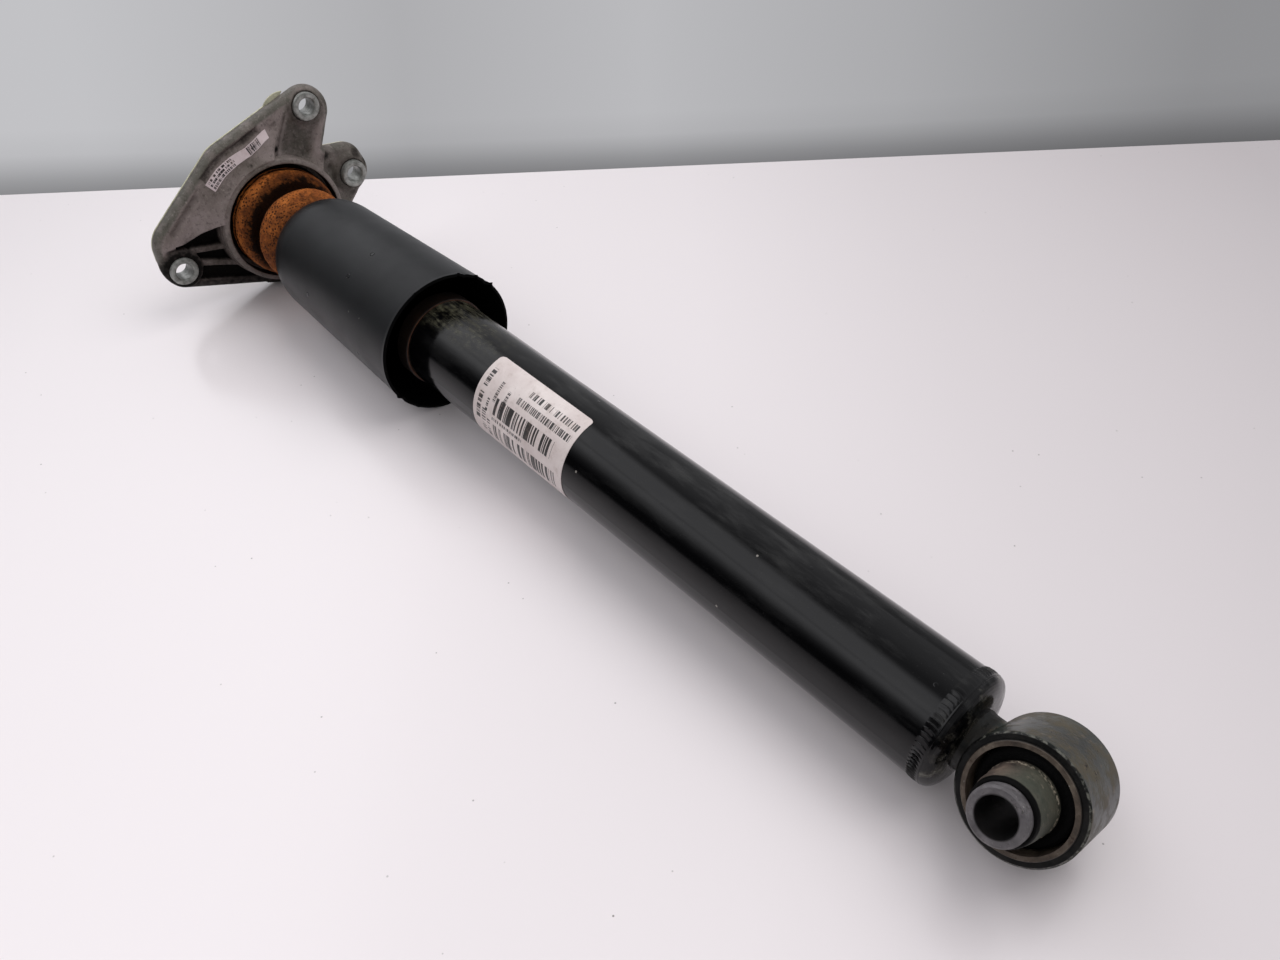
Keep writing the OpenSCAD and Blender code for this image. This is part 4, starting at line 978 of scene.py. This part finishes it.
def mount_casting():
    """The casting as a polar grid of 600 uneven columns, and the cup and tower as a spun profile.

    The grid's front carries the relief from the cup to the edge; its back is flat and half as fine; square blocks of
    both are left out under the sleeves, with walls of five-sided faces between the fine front and the coarse back.
    """
    columns = 600
    fine = np.linspace(-np.pi, np.pi, 7201)
    degree = np.degrees(fine)
    weight = 1.0 + 0.8 * (((degree > -50) & (degree < 25)) | (degree > 88))
    travelled = np.concatenate([[0], np.cumsum((weight[1:] + weight[:-1]) / 2)])
    angle = np.interp(np.arange(columns) * travelled[-1] / columns, travelled, fine)
    # The outline grown by the draft of the side, in short steps, gives the reach of each column
    edge = rounded_outline(CORNERS, 1.5)
    steps = np.linspace(0, 1, 24, endpoint=False)[None, :, None]
    edge = (edge[:, None] + (np.roll(edge, -1, 0) - edge)[:, None] * steps).reshape(-1, 2)
    edge_at = np.arctan2(edge[:, 1], edge[:, 0])
    reach = np.interp(angle, edge_at, np.hypot(*edge.T), period=2 * np.pi)
    s = np.concatenate([np.linspace(0, 0.85, 75), np.linspace(0.857, 1.0, 26)])[:, None]
    start_r = CUP_OUT_R - 0.8
    r = start_r + (reach - start_r) * s
    y, z = r * np.cos(angle), r * np.sin(angle)
    height, dirt_and_shade, rim = [a.reshape(r.shape) for a in mount_relief(np.stack([y, z], -1).reshape(-1, 2))]
    # The side, straight down with a small rounding at the seat
    down = np.array([0.75, 0.5, 0.25, 0.0])[:, None]
    shrink = 1 - np.array([0.0, 0.0, 0.1, 0.5])[:, None] / reach
    side = np.stack([SEAT_X - 1.4 - (height[-1] - 1.4) * down, y[-1] * shrink, z[-1] * shrink], -1)
    # The back, and a hidden way from it to the front through the cup's wall
    back_x = SEAT_X - 1.0
    back_r = start_r + (reach[::2] - 1.2 - start_r) * s[::2]
    hidden = np.array([[back_x, 34.0], [566.0, 34.2], [561.0, 38.8]])
    half_angle = angle[::2]
    inner = np.concatenate([np.repeat(hidden[:, :1], len(half_angle), 1)[..., None], hidden[:, 1:, None] * np.stack(
        [np.cos(half_angle), np.sin(half_angle)], -1)], -1)
    back = np.stack([back_x + 0 * back_r, back_r * np.cos(half_angle), back_r * np.sin(half_angle)], -1)
    front = np.concatenate([np.stack([SEAT_X - height, y, z], -1), side])
    f = np.arange(front.shape[0] * columns).reshape(-1, columns)
    b = f.size + np.arange(back.shape[0] * columns // 2).reshape(-1, columns // 2)
    h = f.size + b.size + np.arange(inner.shape[0] * columns // 2).reshape(-1, columns // 2)
    middle = front[1:101:2, 1::2, 1:]
    under_sleeve_r = 7.0
    gone = np.min([np.hypot(*np.moveaxis(middle - ear, -1, 0)) for ear in EARS], 0) < under_sleeve_r
    kept = np.ones((front.shape[0] - 1, columns), bool)
    kept[:100] = ~np.repeat(np.repeat(gone, 2, 0), 2, 1)
    f1, b1 = np.roll(f, -1, 1), np.roll(b, -1, 1)
    quads = [
        np.stack([f[:-1], f[1:], f1[1:], f1[:-1]], -1)[kept],
        np.stack([b[:-1], b1[:-1], b1[1:], b[1:]], -1)[~gone],
    ]
    for low, high in ((b[0], h[0]), (h[0], h[1]), (h[1], h[2])):
        quads.append(np.stack([low, high, np.roll(high, -1), np.roll(low, -1)], -1))
    # f0, fm and f2 are the first, middle and last column of each block of the front
    f0, fm, f2 = f[:, ::2], f[:, 1::2], np.roll(f, -2, 1)[:, ::2]
    top, mid, low = slice(0, 100, 2), slice(1, 100, 2), slice(2, 101, 2)
    beside = np.roll(gone, -1, 1)
    right, left = gone & ~beside, ~gone & beside
    below, above = gone[:-1] & ~gone[1:], ~gone[:-1] & gone[1:]
    row = slice(2, 100, 2)
    pentagons = [
        np.stack([f2[low], f2[mid], f2[top], b1[:-1], b1[1:]], -1)[right],
        np.stack([f2[top], f2[mid], f2[low], b1[1:], b1[:-1]], -1)[left],
        np.stack([f0[row], fm[row], f2[row], b1[1:-1], b[1:-1]], -1)[below],
        np.stack([f2[row], fm[row], f0[row], b[1:-1], b1[1:-1]], -1)[above],
        np.stack([f0[-1], b[-1], b1[-1], f2[-1], fm[-1]], -1),
        np.stack([h[2], f0[0], fm[0], f2[0], np.roll(h[2], -1)], -1),
    ]
    plate = np.concatenate([front.reshape(-1, 3), back.reshape(-1, 3), inner.reshape(-1, 3)])
    cup = [
        (568.6, 40.95), (560.0, 40.95), (555.4, 40.95), (554.7, 40.5), (554.45, 39.9), (554.2, 39.2), (554.02, 38.5),
        (554.05, 38.0), (554.3, 37.65), (555.0, 37.5), (560.0, 37.5), (564.4, 37.4), (565.0, 36.8), (565.0, 34.0),
        (565.0, 31.8), (565.3, 31.3), (573.0, 31.3), (580.0, 31.3), (580.4, 30.9), (580.4, 25.0), (580.4, 20.2),
        (580.8, 20.0), (583.6, 20.0), (584.0, 20.4), (584.0, 28.0), (584.0, 33.6), (583.6, 34.5), (582.7, 34.9),
        (577.0, 34.9), (570.0, 34.9), (569.0, 36.0),
    ]
    turns = 192
    cup_points, cup_faces = spun(cup, turns)
    # The cup's inside is painted dark as shade, by the profile's point
    hollow_shade = np.interp(np.arange(len(cup)), [0, 7, 8, 10, 12, 20, 23], [0.1, 0.1, 0.6, 0.95, 1.0, 1.0, 0.3])
    hollow_shade = np.repeat(hollow_shade, turns)
    spare = np.full(len(plate) - dirt_and_shade.size, 0.12)
    dirt_and_shade = np.concatenate([dirt_and_shade.ravel(), spare, hollow_shade])
    rim = np.concatenate([rim.ravel(), np.ones(side.shape[0] * columns)])
    rim = np.concatenate([rim, np.full(len(dirt_and_shade) - len(rim), 0.3)])
    faces = [np.concatenate(quads)[:, ::-1], np.concatenate(pentagons)[:, ::-1], cup_faces + len(plate)]
    make_piece(
        "mount_casting", np.concatenate([plate, cup_points]), faces, casting, "top_mount", ["mount_housing"],
        38, {"dirt_and_shade": dirt_and_shade, "rim": rim},
    )


mount_casting()


def bolt_sleeves():
    """The three bolt sleeves: wide flat rings with a rolled edge and a bevel down to an open bore."""
    profile = [
        (559.7, 8.8), (559.25, 8.6), (559.03, 8.2), (559.0, 7.6), (559.0, 6.3), (559.1, 5.9), (559.7, 5.3),
        (560.2, 5.25), (566.0, 5.25), (SEAT_X, 5.25), (SEAT_X, 7.0), (SEAT_X, 8.8), (566.0, 8.8), (562.0, 8.8),
    ]
    points, faces = spun(profile, 128)
    make_piece(
        "bolt_sleeve_rings", np.concatenate([points + (0, *ear) for ear in EARS]),
        [np.concatenate([faces + i * len(points) for i in range(len(EARS))])],
        zinc, "top_mount", ["mount_bolt_sleeves"], 40,
    )


bolt_sleeves()


def film_on_mount():
    """The mount's label: a thin band that follows the raised field's slope along the long edge."""
    rows, columns = 13, 97
    degrees = np.linspace(82.6, 50.3, columns)[None, :]
    # The band isn't quite even: it was stuck on with a slight wave
    middle = np.interp(degrees, [50.4, 58, 65, 71.8, 76, 82.6], [87.1, 87.9, 87.4, 86.4, 87.2, 89.6])
    half = np.interp(degrees, [50, 65, 72], [3.2, 2.9, 2.6])
    r = middle + half * np.linspace(-1, 1, rows)[:, None]
    at = np.radians(degrees)
    y, z = LONG_EDGE_CENTRE[0] + r * np.cos(at), LONG_EDGE_CENTRE[1] + r * np.sin(at)
    x = SEAT_X - slope_of_field(np.hypot(y, z))
    front, back = [np.stack([x - lift, y, z], -1).reshape(-1, 3) for lift in (0.42, 0.15)]
    points, faces = film_shell(front, back, rows, columns)
    u, v = np.meshgrid(np.linspace(0, 1, columns), np.linspace(0, 1, rows))
    uv = np.stack([u, v], -1).reshape(-1, 2)
    bars = [
        (0.56, 0.97, 0.08, 0.32, 75), (0.54, 0.97, 0.42, 0.62, 85), (0.56, 0.97, 0.72, 0.92, 70),
        (0.14, 0.33, 0.06, 0.94, 110), (0.315, 0.33, 0.06, 0.94, 0), (0.16, 0.31, 0.35, 0.60, 90),
    ]
    film = printed_film("printed_mount_film", bars, ("#c9b9bb", "#ddd0d1"))
    make_piece(
        "mount_film", points, [faces[:, ::-1]], film, "top_mount", ["mount_label"], 50,
        uv=np.vstack([uv, uv]),
    )


film_on_mount()

# ---------------------------------------------------------------- finishes of the nodes that stay


def matt_skin(name, roughness, patch_mm, stops, depth_mm, grain_mm, grain_share):
    """A matt skin of wandering tones with a fine grain, for rubber and foam."""
    material, tree, shader, place = start(name, roughness)
    tree.links.new(tones(tree, place, patch_mm, *stops), shader["Base Color"])
    relief(tree, shader, depth_mm, (patches(tree, place, grain_mm, 0.0, 1.0, 3.0), grain_share))
    return material


def brown_stained_cap():
    """Pressed steel cap under old paint: rusty brown in a ring next to the tube, near black outside of it."""
    material, tree, shader, place = start("brown_stained_cap", 0.55)
    brown = tones(tree, place, 6, (0.3, "#2c1a12"), (0.5, "#4d3122"), (0.7, "#6b4630"))
    painted = rise(tree, off_axis(tree, place, X_WAY), 0.0250, 0.0253)
    tree.links.new(over(tree, brown, painted, 0.93, "#070605"), shader["Base Color"])
    relief(tree, shader, 0.15, (patches(tree, place, 1.5, 0.0, 1.0, 3.0), 0.6))
    return material


# Moulded natural rubber: black, matt, with a faint grey bloom
plain_rubber = matt_skin("moulded_rubber", 0.7, 6, [(0.3, "#0c0c0c"), (0.7, "#1c1b1a")], 0.15, 1.5, 0.4)
# Sheet of closed-cell foam: pale yellow-grey, quite matt, with a fine cell pattern
gasket_foam = matt_skin(
    "gasket_foam", 0.85, 4, [(0.3, "#a8a68e"), (0.55, "#c9c7ae"), (0.75, "#dcdac3")], 0.25, 1.0, 0.6,
)
# Drawn steel: bright and even
drawn = dull_steel("drawn_steel", ("#7f8083", "#999a9d", "#adaeb1"), 0.3, "#6b6c6e", 0.2, 6.0, 0.9)
# Pressed and sintered iron: dark, granular and oily
sintered = dull_steel("sintered_iron", ("#4c4b4a", "#626160", "#787776"), 0.5, "#3a3938", 0.3, 3.0, 0.8)
# Rolled bearing bronze: brown-yellow, smooth
bronze = dull_steel("bearing_bronze", ("#7a5a36", "#93703f", "#a98552"), 0.35, "#5d4428", 0.3, 4.0, 0.9)
# Ground and hard-chromed steel: pale, nearly a mirror
chrome = dull_steel("hard_chrome", ("#b9bbbe", "#c9cbce", "#d6d8db"), 0.12, "#a8aaad", 0.1, 8.0, 1.0)
# Steel with yellow-passivated zinc: straw yellow with a soft sheen
yellow_zinc = dull_steel("yellow_zinc", ("#8a7d4a", "#a39459", "#b8a96c"), 0.35, "#6b6040", 0.3, 4.0, 0.8)
# Injection-moulded nylon with glass fibre: black, satin, no metal
nylon = dull_steel("glass_filled_nylon", ("#151413", "#201e1c", "#2a2826"), 0.5, "#0e0d0d", 0.2, 5.0, 0.0)
# Phosphated steel: mid grey, matt
grey_steel = dull_steel("grey_phosphated_steel", ("#4b4a4b", "#5d5c5e", "#6f6e70"), 0.5, "#57504b", 0.4, 5.0, 0.35)
# Rolled steel of the bush's outer sleeve: brown with rust, painted shade in near black beyond its cut lip
lip = sleeve_steel("rusty_sleeve_steel", ("#352e28", "#50463d", "#695f54"), 0.0199, 0.0202, "#2c1c12")
# Turned steel of the bush's inner sleeve: grey end face, painted shade in near black down the bore
bore_steel = sleeve_steel("grey_sleeve_steel", ("#4c494b", "#615e60", "#757173"), 0.0078, 0.0073, "#37312e")

finishes = {
    "damper_tube": gloss_enamel("splashed_enamel", end_dirt=0.85),
    "tube_base": gloss_enamel("dusty_enamel", base_dirt=0.7), "tube_cap": brown_stained_cap(),
    "eye_ring": eye_steel(), "bush_outer_sleeve": lip, "bush_inner_sleeve": bore_steel,
    "mount_rubber": plain_rubber, "mount_gasket": gasket_foam, "mount_cap": nylon, "rod_seal": plain_rubber,
    "inner_cylinder": drawn, "base_valve": sintered, "base_valve_disc": drawn, "rod_guide": sintered,
    "guide_bush": bronze, "rebound_stop": nylon, "retaining_ring": drawn, "piston": sintered, "piston_band": nylon,
    "piston_discs": drawn, "piston_nut": yellow_zinc, "piston_rod": chrome, "bump_plate": grey_steel,
    "core_sleeve": grey_steel, "core_washer": grey_steel, "rod_nut": yellow_zinc, "bump_stop": foam,
    "dust_tube": plastic, "mount_housing": casting, "mount_bolt_sleeves": zinc, "tube_label": gasket_foam,
    "mount_label": gasket_foam, "base_weld": gloss_enamel("gloss_enamel_on_steel"), "bush_rubber": plain_rubber,
}
for name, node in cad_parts.items():
    node.data.materials.clear()
    node.data.materials.append(finishes[name])
